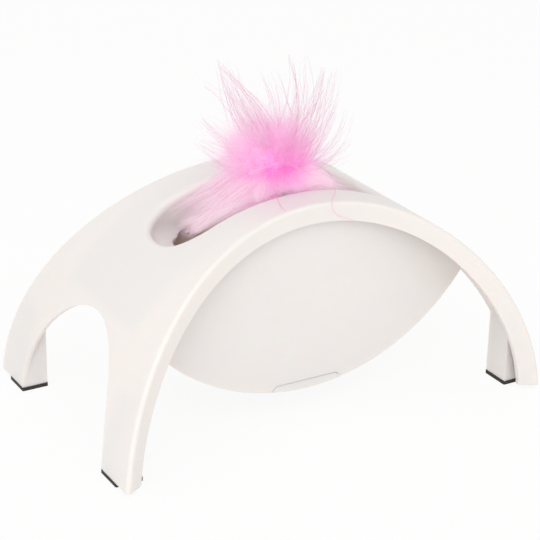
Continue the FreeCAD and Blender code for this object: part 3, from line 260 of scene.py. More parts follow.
@dataclass(frozen=True)
class Down:
    """Dyed marabou, deepest pink at the heart and paler to the tips; the deep pink is partly dye and partly
    painted shade of the crowded barbs.

    A share of the colour is painted glow: an emission that brightens the barbs where the crowded down shades
    them, though down is no lamp. Barbs are thinner than they are drawn here and lie apart, so a share of the
    light passes through them and their shadow is faint. The dye takes unevenly, in patches that shift its
    edge in or out.
    """

    name: str
    deep_colour: str
    middle_colour: str
    tip_colour: str
    heart: tuple[float, float, float]
    heart_radius_mm: float
    reach_mm: float
    # painted glow: how strongly the colour is emitted, to brighten barbs that shade one another
    glow: float
    middle_share: float = 0.42
    patch_mm: float = 9.0
    patch_shift_mm: float = 7.0
    sheen: float = 0.3
    sheen_roughness: float = 0.4
    roughness: float = 0.85
    ior: float = 1.45
    light_through: float = 0.7

    def build(self) -> bpy.types.Material:
        """Grade the colour by how far a place lies from the heart, deep there as partly painted shade, and
        let some light pass.

        Returns:
            The finished material.
        """
        material, tree, place = blank_material(self.name)
        away = add_node(tree, "ShaderNodeVectorMath", {0: place, 1: self.heart}, operation="DISTANCE")
        patch = add_node(tree, "ShaderNodeTexNoise", {"Vector": place, "Scale": per_metre(self.patch_mm),
                                                      "Detail": 2.0})
        shift = add_node(tree, "ShaderNodeMath", {0: patch.outputs["Fac"], 1: 2.0 * self.patch_shift_mm * MM,
                                                  2: -self.patch_shift_mm * MM}, operation="MULTIPLY_ADD")
        uneven = add_node(tree, "ShaderNodeMath", {0: away.outputs["Value"], 1: shift.outputs["Value"]},
                          operation="ADD")
        reach = add_node(tree, "ShaderNodeMapRange", {"Value": uneven.outputs["Value"],
                                                      "From Min": self.heart_radius_mm * MM,
                                                      "From Max": self.reach_mm * MM})
        # painted shade: the ramp runs from the deep colour at the heart to the tip colour; the deep pink
        # stands partly for shade and bounced colour among the crowded barbs
        ramp = add_node(tree, "ShaderNodeValToRGB", {"Fac": reach.outputs["Result"]})
        ramp.color_ramp.elements[0].color = linear(self.deep_colour)
        ramp.color_ramp.elements[1].color = linear(self.tip_colour)
        middle = ramp.color_ramp.elements.new(self.middle_share)
        middle.color = linear(self.middle_colour)
        # painted glow: the ramp's colour is also emitted, brightening the barbs where they shade one another
        shader = add_node(tree, "ShaderNodeBsdfPrincipled",
                          {"Base Color": ramp.outputs["Color"], "Roughness": self.roughness,
                           "Sheen Weight": self.sheen, "Sheen Roughness": self.sheen_roughness,
                           "IOR": self.ior, "Specular IOR Level": 0.2,
                           "Emission Color": ramp.outputs["Color"], "Emission Strength": self.glow})
        clear = add_node(tree, "ShaderNodeBsdfTransparent")
        path = add_node(tree, "ShaderNodeLightPath")
        dim_ray = add_node(tree, "ShaderNodeMath", {0: path.outputs["Is Shadow Ray"],
                                                    1: path.outputs["Is Diffuse Ray"]}, operation="MAXIMUM")
        passing = add_node(tree, "ShaderNodeMath", {0: dim_ray.outputs["Value"], 1: self.light_through},
                           operation="MULTIPLY")
        mix = add_node(tree, "ShaderNodeMixShader", {0: passing.outputs["Value"], 1: shader.outputs["BSDF"],
                                                     2: clear.outputs["BSDF"]})
        add_node(tree, "ShaderNodeOutputMaterial", {"Surface": mix.outputs["Shader"]})
        return material


class Finish(Enum):
    """The record's material slots and how each is finished, but for the tuft's."""

    # ABS from a fine sparked mould: warm white, satin, with a soft sheen
    WHITE_SHELL = ("white_plastic", Moulded("white_abs_shell", "f6eeea", "f4ece7", 0.34, 0.03, 0.9, 0.006,
                                            coat=0.05, glow_through=0.35, glow_mm=7.0))
    # ABS in its natural colour, unpolished: the hidden plates are duller and yellower than the shells
    INNER = ("inner_plastic", Moulded("natural_abs_plate", "e4e1da", "dcd8d0", 0.55, 0.06, 1.1, 0.012))
    # acetal: milky and slippery
    GEAR = ("gear_plastic", Moulded("acetal_gear", "f1efe4", "e9e6d8", 0.32, 0.05, 1.5, 0.004))
    # soft black rubber that dulls with dust, in small patches
    FOOT = ("black_rubber", Moulded("foot_rubber", "2a2724", "35302b", 0.72, 0.08, 0.8, 0.03, flow_mm=7.0))
    # moulded nylon: a deep black with a low satin shine
    BLACK = ("black_plastic", Moulded("black_nylon", "1b1b1c", "232324", 0.45, 0.06, 0.9, 0.01,
                                      flow_mm=12.0))
    # zinc-plated, deep-drawn steel: cool grey with lines along the draw
    STEEL = ("steel", Metal("zinc_plated_steel", "c3c4c6", "9fa1a4", 0.34, 1.2, (1.0, 9.0, 1.0)))
    # turned brass: warm yellow with the tool's fine rings
    BRASS = ("brass", Metal("turned_brass", "c9a35c", "a9843f", 0.3, 0.8, (1.0, 1.0, 8.0)))
    # shrink film round the cells: dark, tight and glossy
    CELL = ("cell_jacket", Moulded("cell_shrink_wrap", "2c2f36", "24272d", 0.24, 0.04, 2.0, 0.01, coat=0.3))
    # green solder mask over glass weave: a smooth green with small tone changes
    BOARD = ("board_laminate", Moulded("solder_mask", "1d6b3c", "175a32", 0.35, 0.05, 1.4, 0.01,
                                       flow_mm=5.0))
    # the horn of a feather's shaft, tinted by the dye: pale pink with a low shine
    QUILL = ("quill", Moulded("feather_quill_horn", "f3dfe2", "eccfd6", 0.42, 0.05, 0.7, 0.01, flow_mm=4.0))

    def __init__(self, slot: str, recipe: Moulded | Metal) -> None:
        """Keep the record's slot and the recipe of its material."""
        self.slot = slot
        self.recipe = recipe


@dataclass
class PhotoCamera:
    """The camera that took the photograph, as fitted to the arch's outline on a 540-pixel frame."""

    focal_px: float = 1742.3
    azimuth_deg: float = 30.63
    elevation_deg: float = 23.14
    distance_mm: float = 1153.6
    origin_px: tuple[float, float] = (269.56, 378.97)
    roll_deg: float = 1.224
    frame_px: float = 540.0
    sensor_mm: float = 36.0
    nearest: float = 0.01
    farthest: float = 20.0

    def build(self) -> bpy.types.Object:
        """Place the camera and make it the scene's.

        Returns:
            The camera's object.
        """
        azimuth = math.radians(self.azimuth_deg)
        elevation = math.radians(self.elevation_deg)
        back = Vector((-math.sin(azimuth) * math.cos(elevation), -math.cos(azimuth) * math.cos(elevation),
                       math.sin(elevation)))
        level = Vector((math.cos(azimuth), -math.sin(azimuth), 0.0))
        turn = Matrix.Rotation(math.radians(self.roll_deg), 3, back)
        right = turn @ level
        up = turn @ back.cross(level)
        per_pixel = self.distance_mm / self.focal_px
        centre = self.frame_px / 2
        place = (back * self.distance_mm - right * (self.origin_px[0] - centre) * per_pixel
                 + up * (self.origin_px[1] - centre) * per_pixel) * MM
        lens = bpy.data.cameras.new("photo_camera")
        lens.sensor_width = self.sensor_mm
        lens.lens = self.focal_px / self.frame_px * self.sensor_mm
        lens.clip_start = self.nearest
        lens.clip_end = self.farthest
        camera = bpy.data.objects.new("photo_camera", lens)
        camera.matrix_world = Matrix.Translation(place) @ Matrix((right, up, back)).transposed().to_4x4()
        bpy.context.scene.collection.objects.link(camera)
        bpy.context.scene.camera = camera
        return camera


@dataclass
class Studio:
    """White sweep under a white dome, with a broad soft key and a low softbox that lights the housing."""

    floor_size: float = 6.0
    floor_sides: int = 64
    floor_colour: str = "f7f6f5"
    backdrop: str = "ffffff"
    seen_share: float = 0.9
    mirrored_share: float = 0.5
    dome_strength: float = 0.8
    lamp_size: float = 1.2
    aim: tuple[float, float, float] = (0.0, 0.0, 0.08)
    key_place: tuple[float, float, float] = (-0.6, -0.8, 1.2)
    key_power: float = 5.2
    low_place: tuple[float, float, float] = (-0.95, -1.15, 0.22)
    low_power: float = 3.4

    def build(self) -> None:
        """Make the floor, the world and the lamps."""
        self.build_floor()
        self.build_world()
        self.build_lamp("key_softbox", self.key_place, self.key_power)
        self.build_lamp("low_softbox", self.low_place, self.low_power)
        bpy.context.scene.view_settings.view_transform = "Standard"

    def build_floor(self) -> None:
        """Lay a round pale floor that shows white and keeps the object's shadow."""
        form = bmesh.new()
        bmesh.ops.create_circle(form, cap_ends=True, radius=self.floor_size / 2, segments=self.floor_sides)
        place_mesh("studio_floor", form, self.floor_material(), smooth=False)

    def floor_material(self) -> bpy.types.Material:
        """Paint a matte white that the camera sees a little brighter than the lamps make it.

        Returns:
            The floor's material.
        """
        material, tree, _ = blank_material("studio_sweep")
        matte = add_node(tree, "ShaderNodeBsdfDiffuse", {"Color": linear(self.floor_colour)})
        glow = add_node(tree, "ShaderNodeEmission", {"Color": linear(self.backdrop), "Strength": 1.0})
        path = add_node(tree, "ShaderNodeLightPath")
        seen = add_node(tree, "ShaderNodeMath", {0: path.outputs["Is Camera Ray"], 1: self.seen_share},
                        operation="MULTIPLY")
        mirrored = add_node(tree, "ShaderNodeMath",
                            {0: path.outputs["Is Glossy Ray"], 1: self.mirrored_share}, operation="MULTIPLY")
        share = add_node(tree, "ShaderNodeMath", {0: seen.outputs["Value"], 1: mirrored.outputs["Value"]},
                         operation="MAXIMUM")
        mix = add_node(tree, "ShaderNodeMixShader", {0: share.outputs["Value"], 1: matte.outputs["BSDF"],
                                                     2: glow.outputs["Emission"]})
        add_node(tree, "ShaderNodeOutputMaterial", {"Surface": mix.outputs["Shader"]})
        return material

    def build_world(self) -> None:
        """Set a white dome that is pure white to the camera and softer as a light."""
        world = bpy.data.worlds.new("white_dome")
        bpy.context.scene.world = world
        world.use_nodes = True
        tree = world.node_tree
        tree.nodes.clear()
        path = add_node(tree, "ShaderNodeLightPath")
        strength = add_node(tree, "ShaderNodeMapRange", {"Value": path.outputs["Is Camera Ray"],
                                                         "To Min": self.dome_strength, "To Max": 1.0})
        dome = add_node(tree, "ShaderNodeBackground", {"Color": linear(self.backdrop),
                                                       "Strength": strength.outputs["Result"]})
        add_node(tree, "ShaderNodeOutputWorld", {"Surface": dome.outputs["Background"]})

    def build_lamp(self, name: str, place: tuple[float, float, float], power: float) -> None:
        """Hang one square softbox that faces the object.

        Args:
            name: the lamp's name.
            place: where it hangs, in metres.
            power: its power in watts.
        """
        lamp = bpy.data.lights.new(name, "AREA")
        lamp.size = self.lamp_size
        lamp.energy = power
        holder = bpy.data.objects.new(name, lamp)
        holder.location = place
        aim = Vector(self.aim) - Vector(place)
        holder.rotation_euler = aim.to_track_quat("-Z", "Y").to_euler()
        bpy.context.scene.collection.objects.link(holder)


@dataclass
class Strand:
    """One barb: its points, how thick its root is in millimetres, and its tip's share of that."""

    points: list[Vector]
    thickness_mm: float
    tip_share: float


@dataclass
class StrandBundle:
    """Many barbs made as one piece."""

    name: str
    material: bpy.types.Material
    strands: list[Strand] = field(default_factory=list)
    sides: int = 3

    def build(self) -> bpy.types.Object:
        """Sweep a small polygon along every barb, as one closed mesh in place.

        Returns:
            The finished piece.
        """
        section = bpy.data.curves.new(self.name + "_section", "CURVE")
        section.dimensions = "2D"
        outline = section.splines.new("POLY")
        outline.points.add(self.sides - 1)
        for corner, point in enumerate(outline.points):
            angle = 2 * math.pi * corner / self.sides
            point.co = (math.cos(angle) * MM / 2, math.sin(angle) * MM / 2, 0.0, 1.0)
        outline.use_cyclic_u = True
        section_object = bpy.data.objects.new(section.name, section)
        bpy.context.scene.collection.objects.link(section_object)
        path = bpy.data.curves.new(self.name + "_path", "CURVE")
        path.dimensions = "3D"
        path.bevel_mode = "OBJECT"
        path.bevel_object = section_object
        path.use_fill_caps = True
        for strand in self.strands:
            spline = path.splines.new("POLY")
            last = len(strand.points) - 1
            spline.points.add(last)
            for number, (point, place) in enumerate(zip(spline.points, strand.points)):
                point.co = (*place, 1.0)
                point.radius = strand.thickness_mm * (1.0 - (1.0 - strand.tip_share) * number / last)
        holder = bpy.data.objects.new(self.name + "_path", path)
        bpy.context.scene.collection.objects.link(holder)
        bpy.context.view_layer.update()
        graph = bpy.context.evaluated_depsgraph_get()
        mesh = bpy.data.meshes.new_from_object(holder.evaluated_get(graph))
        mesh.name = self.name
        mesh.materials.clear()
        mesh.materials.append(self.material)
        mesh.polygons.foreach_set("use_smooth", [True] * len(mesh.polygons))
        piece = bpy.data.objects.new(self.name, mesh)
        bpy.context.scene.collection.objects.link(piece)
        for spare in (holder, section_object):
            bpy.data.objects.remove(spare)
        return piece


@dataclass(frozen=True)
class Lock:
    """A pointed lock of long barbs, as it stands against the middle of the tuft.

    The lean is from upright to the right, the bow is how far its middle swings out to the right of a
    straight line, and the turn is how far it points out of the tuft's broad side, towards the eye. The
    spread is how far apart its barbs start, and the thickness is a barb's.
    """

    lean_deg: float
    length_mm: float
    bow_mm: float
    barbs: int
    turn_deg: float
    spread_mm: float = 7.0
    thickness_mm: float = 0.3


# The locks that stand out in the photograph: those that point up, and those at the tuft's sides
TOP_LOCKS = (
    Lock(-28, 84, -8, 18, 4), Lock(-27, 82, 6, 16, -6), Lock(-35, 80, -7, 8, 10), Lock(-23, 76, 5, 9, -12),
    Lock(-26, 68, -3, 11, 8), Lock(-17, 64, -5, 8, 14), Lock(-9, 68, -6, 9, -4), Lock(-3, 72, -7, 10, 8),
    Lock(5, 80, -9, 13, 0), Lock(11, 82, -8, 10, -8), Lock(11, 68, -4, 8, 12), Lock(21, 79, -6, 16, 4),
    Lock(28, 77, -6, 15, -6), Lock(33, 70, -5, 13, 10))
SIDE_LOCKS = (
    Lock(44, 65, -12, 10, 2, 8.0, 0.25), Lock(41, 56, -9, 8, -10, 7.0, 0.22),
    Lock(34, 62, 8, 8, 6, 7.0, 0.22), Lock(64, 54, -7, 10, -4, 8.0, 0.24),
    Lock(72, 49, -4, 9, 8, 8.0, 0.22), Lock(76, 42, -2, 8, -12, 8.0, 0.2),
    Lock(56, 51, -5, 8, 14, 7.0, 0.22), Lock(-50, 60, 2, 9, 4, 8.0, 0.24),
    Lock(-57, 57, 3, 8, -8, 8.0, 0.22), Lock(-62, 54, 3, 9, 10, 8.0, 0.22),
    Lock(-69, 54, 6, 9, -2, 8.0, 0.22), Lock(-74, 50, 4, 9, 8, 8.0, 0.2),
    Lock(-80, 44, 3, 8, -10, 8.0, 0.2), Lock(87, 40, -6, 9, 6, 8.0, 0.2))


class VeilPart(Enum):
    """The veil's parts, each a side of the stem (-1 is the left) and a share of the barbs.

    The reach is the nearest, the usual and the farthest place of a tip along the slot, the span its front
    and back place across the slot, the crowding how much tips gather at the front, and the depth how far
    they hang into the slot at the most.
    """

    FRONT = (-1, 0.8, (16.0, 45.0, 72.0), (-22.0, 18.0), 1.7, 14.0)
    BACK = (-1, 0.4, (16.0, 45.0, 68.0), (8.0, 23.0), 1.0, 4.0)
    FAR_END = (-1, 0.3, (52.0, 67.0, 75.0), (-22.0, -2.0), 1.0, 14.0)
    RIGHT = (1, 0.35, (16.0, 34.0, 54.0), (-22.0, 18.0), 1.7, 14.0)

    def __init__(self, side: int, share: float, reach: tuple[float, float, float],
                 span: tuple[float, float], crowding: float, deepest: float) -> None:
        """Keep the part's numbers, in millimetres where they are lengths."""
        self.side = side
        self.share = share
        self.nearest, self.usual, self.farthest = reach
        self.front, self.back = span
        self.crowding = crowding
        self.deepest = deepest


@dataclass
class MarabouTuft:
    """The pink tuft: a felted heart, crowded down, long locks, a skirt, a veil, a fringe, curls and quills.

    The places are in millimetres: the root is where the barbs are bound, the shade and dye heart is where
    the pink is deepest, partly as painted shade, and the cloud is the middle of the down. The fold is not
    used. The face is how far the tuft's broad side is turned to the left of the arch's front.
    """

    quill: bpy.types.Material
    draw: random.Random = field(default_factory=lambda: random.Random(TUFT_SEED))
    face_deg: float = 30.6
    root: tuple[float, float, float] = (1.0, 0.0, 144.0)
    shade_and_dye_heart: tuple[float, float, float] = (-4.0, -13.0, 148.0)
    cloud: tuple[float, float, float] = (-4.5, 0.5, 156.5)
    fold: tuple[float, float, float] = (-4.5, 0.5, 166.0)
    heart_radii_mm: tuple[float, float, float] = (18.5, 17.0, 12.0)
    heart_squareness: float = 3.0
    fuzz_barbs: int = 4400
    mist_barbs: int = 3200
    other_locks: int = 34
    skirt_barbs: int = 2300
    veil_barbs: int = 1900
    veil_line_barbs: int = 170
    front_fringe_barbs: int = 1300
    back_fringe_barbs: int = 500
    curl_barbs: int = 3

    def build(self) -> list[bpy.types.Object]:
        """Build every piece of the tuft and let it ride with the feather.

        Returns:
            The finished pieces.
        """
        heart = tuple(v * MM for v in self.shade_and_dye_heart)
        # each Down's last number is its painted glow, and its first colour, deepest at the heart, is partly
        # painted shade
        # short fluff, packed: the hottest pink, pale at its edge
        down = Down("dyed_marabou_down", "f982dd", "f8bde5", "f1dbe7", heart, 6.5, 43.0, 0.27).build()
        # long barbs that stand alone: a duller rose
        barbs = Down("dyed_marabou_barbs", "ee98cd", "ecb2d1", "e8bccf", heart, 13.0, 64.0, 0.15).build()
        # loose fluff over the white slot: the palest pink
        sheer = Down("dyed_marabou_veil", "f8aee2", "f8d8ea", "f6e2ec", heart, 5.0, 44.0, 0.28).build()
        crowd = [self.build_heart("tuft_heart", down)]
        for number in (1, 2, 3):
            crowd.append(self.build_down(f"tuft_fuzz_{number}", down, self.fuzz_barbs, -0.85, 5.5, 0.15))
        for number in (1, 2):
            crowd.append(self.build_down(f"tuft_mist_{number}", down, self.mist_barbs, -0.45, 8.5, 0.1))
        pieces = crowd + [self.build_top_locks("tuft_top_locks", barbs)]
        skirt = self.build_skirt("tuft_skirt", sheer)
        side_locks = self.build_locks("tuft_side_locks", barbs, SIDE_LOCKS)
        veil = self.build_veil("tuft_veil", sheer, self.veil_barbs, 0.12)
        lines = self.build_veil("tuft_veil_lines", barbs, self.veil_line_barbs, 0.26)
        fringe = self.build_fringe("tuft_fringe", sheer)
        curls = self.build_curls("tuft_curls", barbs)
        pieces += [side_locks, skirt, veil, lines, fringe, curls, self.build_quills("tuft_quills")]
        for piece in pieces:
            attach(piece, "feather")
        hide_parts("feather_tuft")
        for piece in crowd:
            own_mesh(piece)
        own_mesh(side_locks)
        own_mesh(skirt)
        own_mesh(veil)
        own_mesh(lines)
        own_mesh(fringe)
        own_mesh(curls)
        return pieces

    @property
    def across(self) -> Vector:
        """The tuft's broad side, to the right."""
        return Vector((math.cos(math.radians(self.face_deg)), -math.sin(math.radians(self.face_deg)), 0.0))

    @property
    def outward(self) -> Vector:
        """The way the tuft's broad side faces."""
        return Vector((-math.sin(math.radians(self.face_deg)), -math.cos(math.radians(self.face_deg)), 0.0))

    @staticmethod
    def at(x: float, y: float, z: float) -> Vector:
        """Turn a place in millimetres to metres."""
        return Vector((x, y, z)) * MM

    def scatter(self, spread: float) -> Vector:
        """Return a random vector with this spread on each axis."""
        return Vector([self.draw.gauss(0.0, spread) for _ in range(3)])

    def random_direction(self, lowest: float) -> Vector:
        """Draw a direction over the sphere, with all heights as likely.

        Args:
            lowest: the least height that it may have on the unit sphere.

        Returns:
            A unit vector.
        """
        height = self.draw.uniform(lowest, 1.0)
        turn = self.draw.uniform(0, 2 * math.pi)
        flat = math.sqrt(1 - height * height)
        return Vector((flat * math.cos(turn), flat * math.sin(turn), height))

    def wavering(self, start: Vector, along: Vector, length: float, steps: int, droop: float,
                 waver: float) -> list[Vector]:
        """Run a barb from a start along a direction, with a soft bend and a droop.

        Args:
            start: its root, in metres.
            along: the direction it leaves in.
            length: its length in metres.
            steps: how many straight pieces it has.
            droop: how far gravity turns it down over its length, as a share.
            waver: how much it wanders, as a share of its length.

        Returns:
            Its points.
        """
        place = start.copy()
        heading = along.normalized()
        bend = self.scatter(waver)
        points = [place.copy()]
        for _ in range(steps):
            place = place + heading * (length / steps)
            points.append(place.copy())
            pull = bend + self.scatter(waver * 0.5) + Vector((0, 0, -droop))
            heading = (heading + pull / steps).normalized()
        return points

    def draped(self, start: Vector, end: Vector, rise: float, steps: int) -> list[Vector]:
        """Run a barb over an arc from a start to an end, with a little sway.

        Args:
            start: where it leaves the tuft, in metres.
            end: where its tip hangs, in metres.
            rise: how far its middle stands above the straight line, in metres.
            steps: how many straight pieces it has.

        Returns:
            Its points.
        """
        sway = self.scatter(1.4 * MM)
        points = []
        for step in range(steps + 1):
            share = step / steps
            arc = 4.0 * share * (1.0 - share)
            points.append(start.lerp(end, share) + Vector((0, 0, rise * arc)) + sway * arc
                          + self.scatter(0.16 * MM))
        return points

    @staticmethod
    def through(stops: list[Vector], steps: int) -> list[Vector]:
        """Run a smooth line through some places.

        Args:
            stops: the places, in metres.
            steps: how many straight pieces lie between two of them.

        Returns:
            The line's points.
        """
        padded = [stops[0]] + stops + [stops[-1]]
        points = [stops[0].copy()]
        for before, start, end, after in zip(padded, padded[1:], padded[2:], padded[3:]):
            leave = start + (end - before) / 6
            arrive = end - (after - start) / 6
            points += geometry.interpolate_bezier(start, leave, arrive, end, steps + 1)[1:]
        return points

    def on_blob(self, direction: Vector, radii_mm: tuple[float, float, float]) -> Vector:
        """Find where a direction from the cloud's middle leaves a squarish blob.

        Args:
            direction: a unit vector.
            radii_mm: the blob's half sizes.

        Returns:
            The place in metres.
        """
        power = self.heart_squareness
        total = sum((abs(direction[axis]) / radii_mm[axis]) ** power for axis in range(3))
        return self.at(*self.cloud) + direction * (total ** (-1 / power)) * MM

    def build_heart(self, name: str, material: bpy.types.Material) -> bpy.types.Object:
        """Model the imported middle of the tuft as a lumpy, felted blob.

        Args:
            name: the piece's name.
            material: its finish.

        Returns:
            The finished piece.
        """
        form = bmesh.new()
        bmesh.ops.create_icosphere(form, subdivisions=6, radius=1.0)
        middle = self.at(*self.cloud)
        for vertex in form.verts:
            direction = vertex.co.normalized()
            # lumps of about a third of the heart's width, and small knots on them
            lumps = noise.fractal(direction * 2.2, 0.9, 2.1, 3) * 0.12
            knots = noise.fractal(direction * 13.0, 0.7, 2.2, 3) * 0.06
            vertex.co = middle.lerp(self.on_blob(direction, self.heart_radii_mm), 1.0 + lumps + knots)
        return place_mesh(name, form, material)

    def barb_from(self, direction: Vector, inner: tuple[float, float, float],
                  reach_mm: float) -> list[Vector]:
        """Run one short barb out of the heart, away from the root.

        Args:
            direction: where it leaves the cloud's middle.
            inner: half sizes of the blob it starts on.
            reach_mm: its length in millimetres.

        Returns:
            Its points.
        """
        start = self.on_blob(direction, inner)
        away = (start - self.at(*self.root)).normalized()
        along = (away * 0.75 + direction * 0.6).normalized()
        return self.wavering(start, along, reach_mm * MM, steps=4, droop=0.15, waver=0.55)

    def build_down(self, name: str, material: bpy.types.Material, count: int, lowest: float,
                   usual_mm: float, thickness_mm: float) -> bpy.types.Object:
        """Crowd barbs all over the heart, most of them short and a few long, so that the edge fades.

        Args:
            name: the piece's name.
            material: its finish.
            count: how many barbs it has.
            lowest: height on the unit sphere of the lowest barbs.
            usual_mm: the mean length past the shortest.
            thickness_mm: thickness at the root.

        Returns:
            The finished piece.
        """
        shortest_mm = 3.0
        longest_mm = 5.0 * usual_mm
        bundle = StrandBundle(name, material)
        inner = tuple(radius * 0.93 for radius in self.heart_radii_mm)
        for _ in range(count):
            direction = self.random_direction(lowest)
            reach = min(shortest_mm + self.draw.expovariate(1 / usual_mm), longest_mm)
            points = self.barb_from(direction, inner, reach)
            bundle.strands.append(Strand(points, thickness_mm * self.draw.uniform(0.7, 1.3), 0.3))
        return bundle.build()

    def lock_tip(self, lock: Lock) -> Vector:
        """Find how far a lock's tip lies from the root.

        Args:
            lock: where it points and how long it is.

        Returns:
            The way from the root to the tip, in metres.
        """
        lean = math.radians(lock.lean_deg)
        flat = self.across * math.sin(lean) + UP * math.cos(lean)
        turned = flat + self.outward * math.tan(math.radians(lock.turn_deg))
        return turned * lock.length_mm * MM

    def add_lock(self, lock: Lock, bundle: StrandBundle) -> None:
        """Add the barbs of one lock, which start apart and close up towards its tip.

        Args:
            lock: where it points and how many barbs it has.
            bundle: what its barbs are added to.
        """
        root = self.at(*self.root)
        tip = self.lock_tip(lock)
        along = tip.normalized()
        side = along.cross(self.outward).normalized() * -1.0
        other = along.cross(side)
        steps = 9
        for _ in range(lock.barbs):
            spread = self.draw.gauss(0.0, lock.spread_mm)
            depth = self.draw.gauss(0.0, lock.spread_mm)
            begin = self.draw.uniform(0.2, 0.36)
            end = self.draw.triangular(0.72, 1.03, 0.98)
            bow = lock.bow_mm + self.draw.gauss(0.0, 1.3)
            stray = self.draw.gauss(0.0, 1.6)
            points = []
            for step in range(steps + 1):
                share = begin + (end - begin) * step / steps
                open_share = max(0.0, 1.0 - share) ** 1.25 + 0.1
                wander = stray * share * share + self.draw.gauss(0.0, 0.18)
                swing = bow * 4.0 * share * (1.0 - share) + wander
                points.append(root + tip * share + side * (spread * open_share + swing) * MM
                              + other * depth * open_share * MM)
            thickness = lock.thickness_mm * self.draw.triangular(0.4, 1.5, 0.6)
            bundle.strands.append(Strand(points, thickness, 0.35))

    def build_locks(self, name: str, material: bpy.types.Material,
                    locks: tuple[Lock, ...]) -> bpy.types.Object:
        """Build some locks as one piece.

        Args:
            name: the piece's name.
            material: its finish.
            locks: the locks.

        Returns:
            The finished piece.
        """
        bundle = StrandBundle(name, material)
        for lock in locks:
            self.add_lock(lock, bundle)
        return bundle.build()

    def build_top_locks(self, name: str, material: bpy.types.Material) -> bpy.types.Object:
        """Build the locks that stand up, and shorter ones before and behind the tuft's broad side.

        Args:
            name: the piece's name.
            material: its finish.

        Returns:
            The finished piece.
        """
        others = []
        for _ in range(self.other_locks):
            turn = self.draw.choice((-1, 1)) * self.draw.uniform(22, 52)
            lean = self.draw.uniform(-48, 48)
            length = self.draw.uniform(40, 54) * math.cos(math.radians(turn))
            others.append(Lock(lean, length, self.draw.gauss(0.0, 4.0), 9, turn, 6.0, 0.24))
        return self.build_locks(name, material, TOP_LOCKS + tuple(others))

    def build_skirt(self, name: str, material: bpy.types.Material) -> bpy.types.Object:
        """Hang down all round the stem, from the heart's underside into the slot.

        Args:
            name: the piece's name.
            material: its finish.

        Returns:
            The finished piece.
        """
        slot_half_mm = 21.0
        lowest_mm = 129.0
        bundle = StrandBundle(name, material)
        middle = self.at(self.root[0], self.root[1], 0.0)
        for _ in range(self.skirt_barbs):
            turn = self.draw.uniform(0, 2 * math.pi)
            out = Vector((math.cos(turn), math.sin(turn), 0.0))
            start = (middle + out * self.draw.uniform(3.0, 15.0) * MM
                     + self.at(0, 0, self.draw.uniform(146, 155)))
            end = middle + out * self.draw.triangular(8.0, 24.0, 20.0) * MM
            end.y = max(-slot_half_mm * MM, min(slot_half_mm * MM, end.y))
            # level with the lip at the front, and lower towards the back, where the eye looks in
            hidden = 139.0 - 0.55 * (end.y / MM + 20.0)
            end.z = (max(hidden, lowest_mm) + self.draw.uniform(-1.0, 7.0)) * MM
            points = self.draped(start, end, self.draw.uniform(0.0, 4.0) * MM, 5)
            bundle.strands.append(Strand(points, self.draw.uniform(0.1, 0.2), 0.3))
        return bundle.build()

    def build_veil(self, name: str, material: bpy.types.Material, count: int,
                   usual_mm: float) -> bpy.types.Object:
        """Let barbs droop along the slot on both sides of the stem, down to where its front lip hides them.

        Args:
            name: the piece's name.
            material: its finish.
            count: the number of barbs that the parts take their shares of.
            usual_mm: the thickness that most barbs have at the root.

        Returns:
            The finished piece.
        """
        bundle = StrandBundle(name, material)
        for part in VeilPart:
            for _ in range(round(count * part.share)):
                reach = self.draw.triangular(part.nearest, part.farthest, part.usual)
                across = part.front + (part.back - part.front) * self.draw.random() ** part.crowding
                start = self.at(part.side * self.draw.uniform(0, 21),
                                0.6 * across + self.draw.uniform(-6, 4), self.draw.uniform(128, 153))
                # level with the lip at the front, deeper towards the back, shallow over the slot's end ramp
                deep = min(0.58 * (across + 22.0), 3.0 + 2.0 * max(0.0, 66.0 - reach), part.deepest)
                height = crown_height_mm(reach) - deep + self.draw.triangular(-2.5, 8.0, -1.0)
                end = self.at(part.side * reach, across, height)
                points = self.draped(start, end, self.draw.uniform(-1.0, 3.0) * MM, 6)
                bundle.strands.append(Strand(points, usual_mm * self.draw.uniform(0.7, 1.5), 0.35))
        return bundle.build()

    def build_fringe(self, name: str, material: bpy.types.Material) -> bpy.types.Object:
        """Lay barbs over the slot's two long edges.

        Args:
            name: the piece's name.
            material: its finish.

        Returns:
            The finished piece.
        """
        root_half_mm = 19.0
        bundle = StrandBundle(name, material)
        for side, count in ((-1, self.front_fringe_barbs), (1, self.back_fringe_barbs)):
            for _ in range(count):
                x = max(-root_half_mm, min(root_half_mm, self.draw.gauss(1.0, 12.0)))
                reach = self.draw.triangular(20.0, 34.0, 23.0)
                start = self.at(x * 0.7, side * self.draw.uniform(6, 16), self.draw.uniform(144, 153))
                tip_x = x * 1.5
                height = crown_height_mm(tip_x) + self.draw.triangular(0.3, 7.0, 1.0)
                end = self.at(tip_x, side * reach, height)
                points = self.draped(start, end, self.draw.uniform(0.5, 3.5) * MM, 6)
                bundle.strands.append(Strand(points, self.draw.uniform(0.09, 0.18), 0.3))
        return bundle.build()

    def build_curls(self, name: str, material: bpy.types.Material) -> bpy.types.Object:
        """Let two loose curls of barbs hang over the front of the arch.

        Args:
            name: the piece's name.
            material: its finish.

        Returns:
            The finished piece.
        """
        bundle = StrandBundle(name, material)
        front_curl = ((-5, -13, 148), (-11, -21, 142.6), (-16, -32, 140.8), (-20, -43, 140.2),
                      (-22, -53, 139.8))
        side_curl = ((24, -8, 150), (33, -12, 144), (28, -27, 141), (19, -42, 142), (11, -52, 142),
                     (10, -54.5, 137), (16, -54.5, 131), (26, -55, 127))
        for curl in (front_curl, side_curl):
            for _ in range(self.curl_barbs):
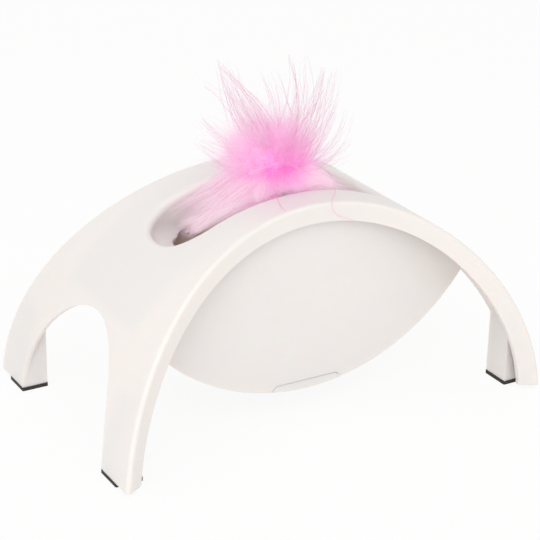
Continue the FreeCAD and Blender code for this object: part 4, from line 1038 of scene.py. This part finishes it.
                # the barbs part a little more from one stop to the next
                stops = [self.at(*stop) + self.scatter(0.45 * MM) * number / 3
                         for number, stop in enumerate(curl)]
                bundle.strands.append(Strand(self.through(stops, 4), 0.2, 0.6))
        return bundle.build()

    def build_quills(self, name: str) -> bpy.types.Object:
        """Curve a few pale quills up through the down, each thin and lost in the fluff.

        Args:
            name: the piece's name.

        Returns:
            The finished piece.
        """
        bundle = StrandBundle(name, self.quill, sides=6)
        middle = self.at(*self.cloud)
        reach = tuple(radius + 6.0 for radius in self.heart_radii_mm)
        steps = 10
        # each runs over the down from its first direction to its last, and dips into it at both ends
        for first, last in (((-0.75, -0.5, -0.05), (-0.1, -0.95, 0.2)),
                            ((-0.1, -0.9, -0.6), (0.45, -0.8, 0.25)),
                            ((0.2, -0.95, 0.0), (0.7, -0.6, -0.3)),
                            ((0.6, 0.7, -0.3), (0.0, 0.9, 0.35)),
                            ((-0.5, 0.8, -0.2), (-0.9, 0.3, 0.3))):
            start = Vector(first).normalized()
            end = Vector(last).normalized()
            points = [self.on_blob(start.slerp(end, step / steps), reach) for step in range(steps + 1)]
            points[0] = points[0].lerp(middle, 0.4)
            points[-1] = points[-1].lerp(middle, 0.25)
            bundle.strands.append(Strand(points, 0.45, 0.5))
        return bundle.build()


def dress_frame(frame: dict) -> dict[str, bpy.types.Material]:
    """Give every node of the frame the finish of its slot, but for the tuft, which is modelled anew.


    Returns:
        The finished material of each slot.
    """
    finishes = {finish.slot: finish.recipe.build() for finish in Finish}
    slots = {part["node"]: part["material_slot"] for part in frame["record"]["subparts"]}
    for name, node in frame["nodes"].items():
        slot = slots[name]
        if slot not in finishes:
            continue
        node.data.materials.clear()
        node.data.materials.append(finishes[slot])
        LOG.info("%s: %s", name, finishes[slot].name)
    return finishes


def main() -> None:
    """Load the frame, dress it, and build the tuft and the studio."""
    logging.basicConfig(level=logging.INFO, format="%(name)s: %(message)s")
    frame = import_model()
    finishes = dress_frame(frame)
    for piece in MarabouTuft(quill=finishes["quill"]).build():
        LOG.info("%s: %d faces", piece.name, len(piece.data.polygons))
    Studio().build()
    PhotoCamera().build()


if __name__ == "__main__":
    main()
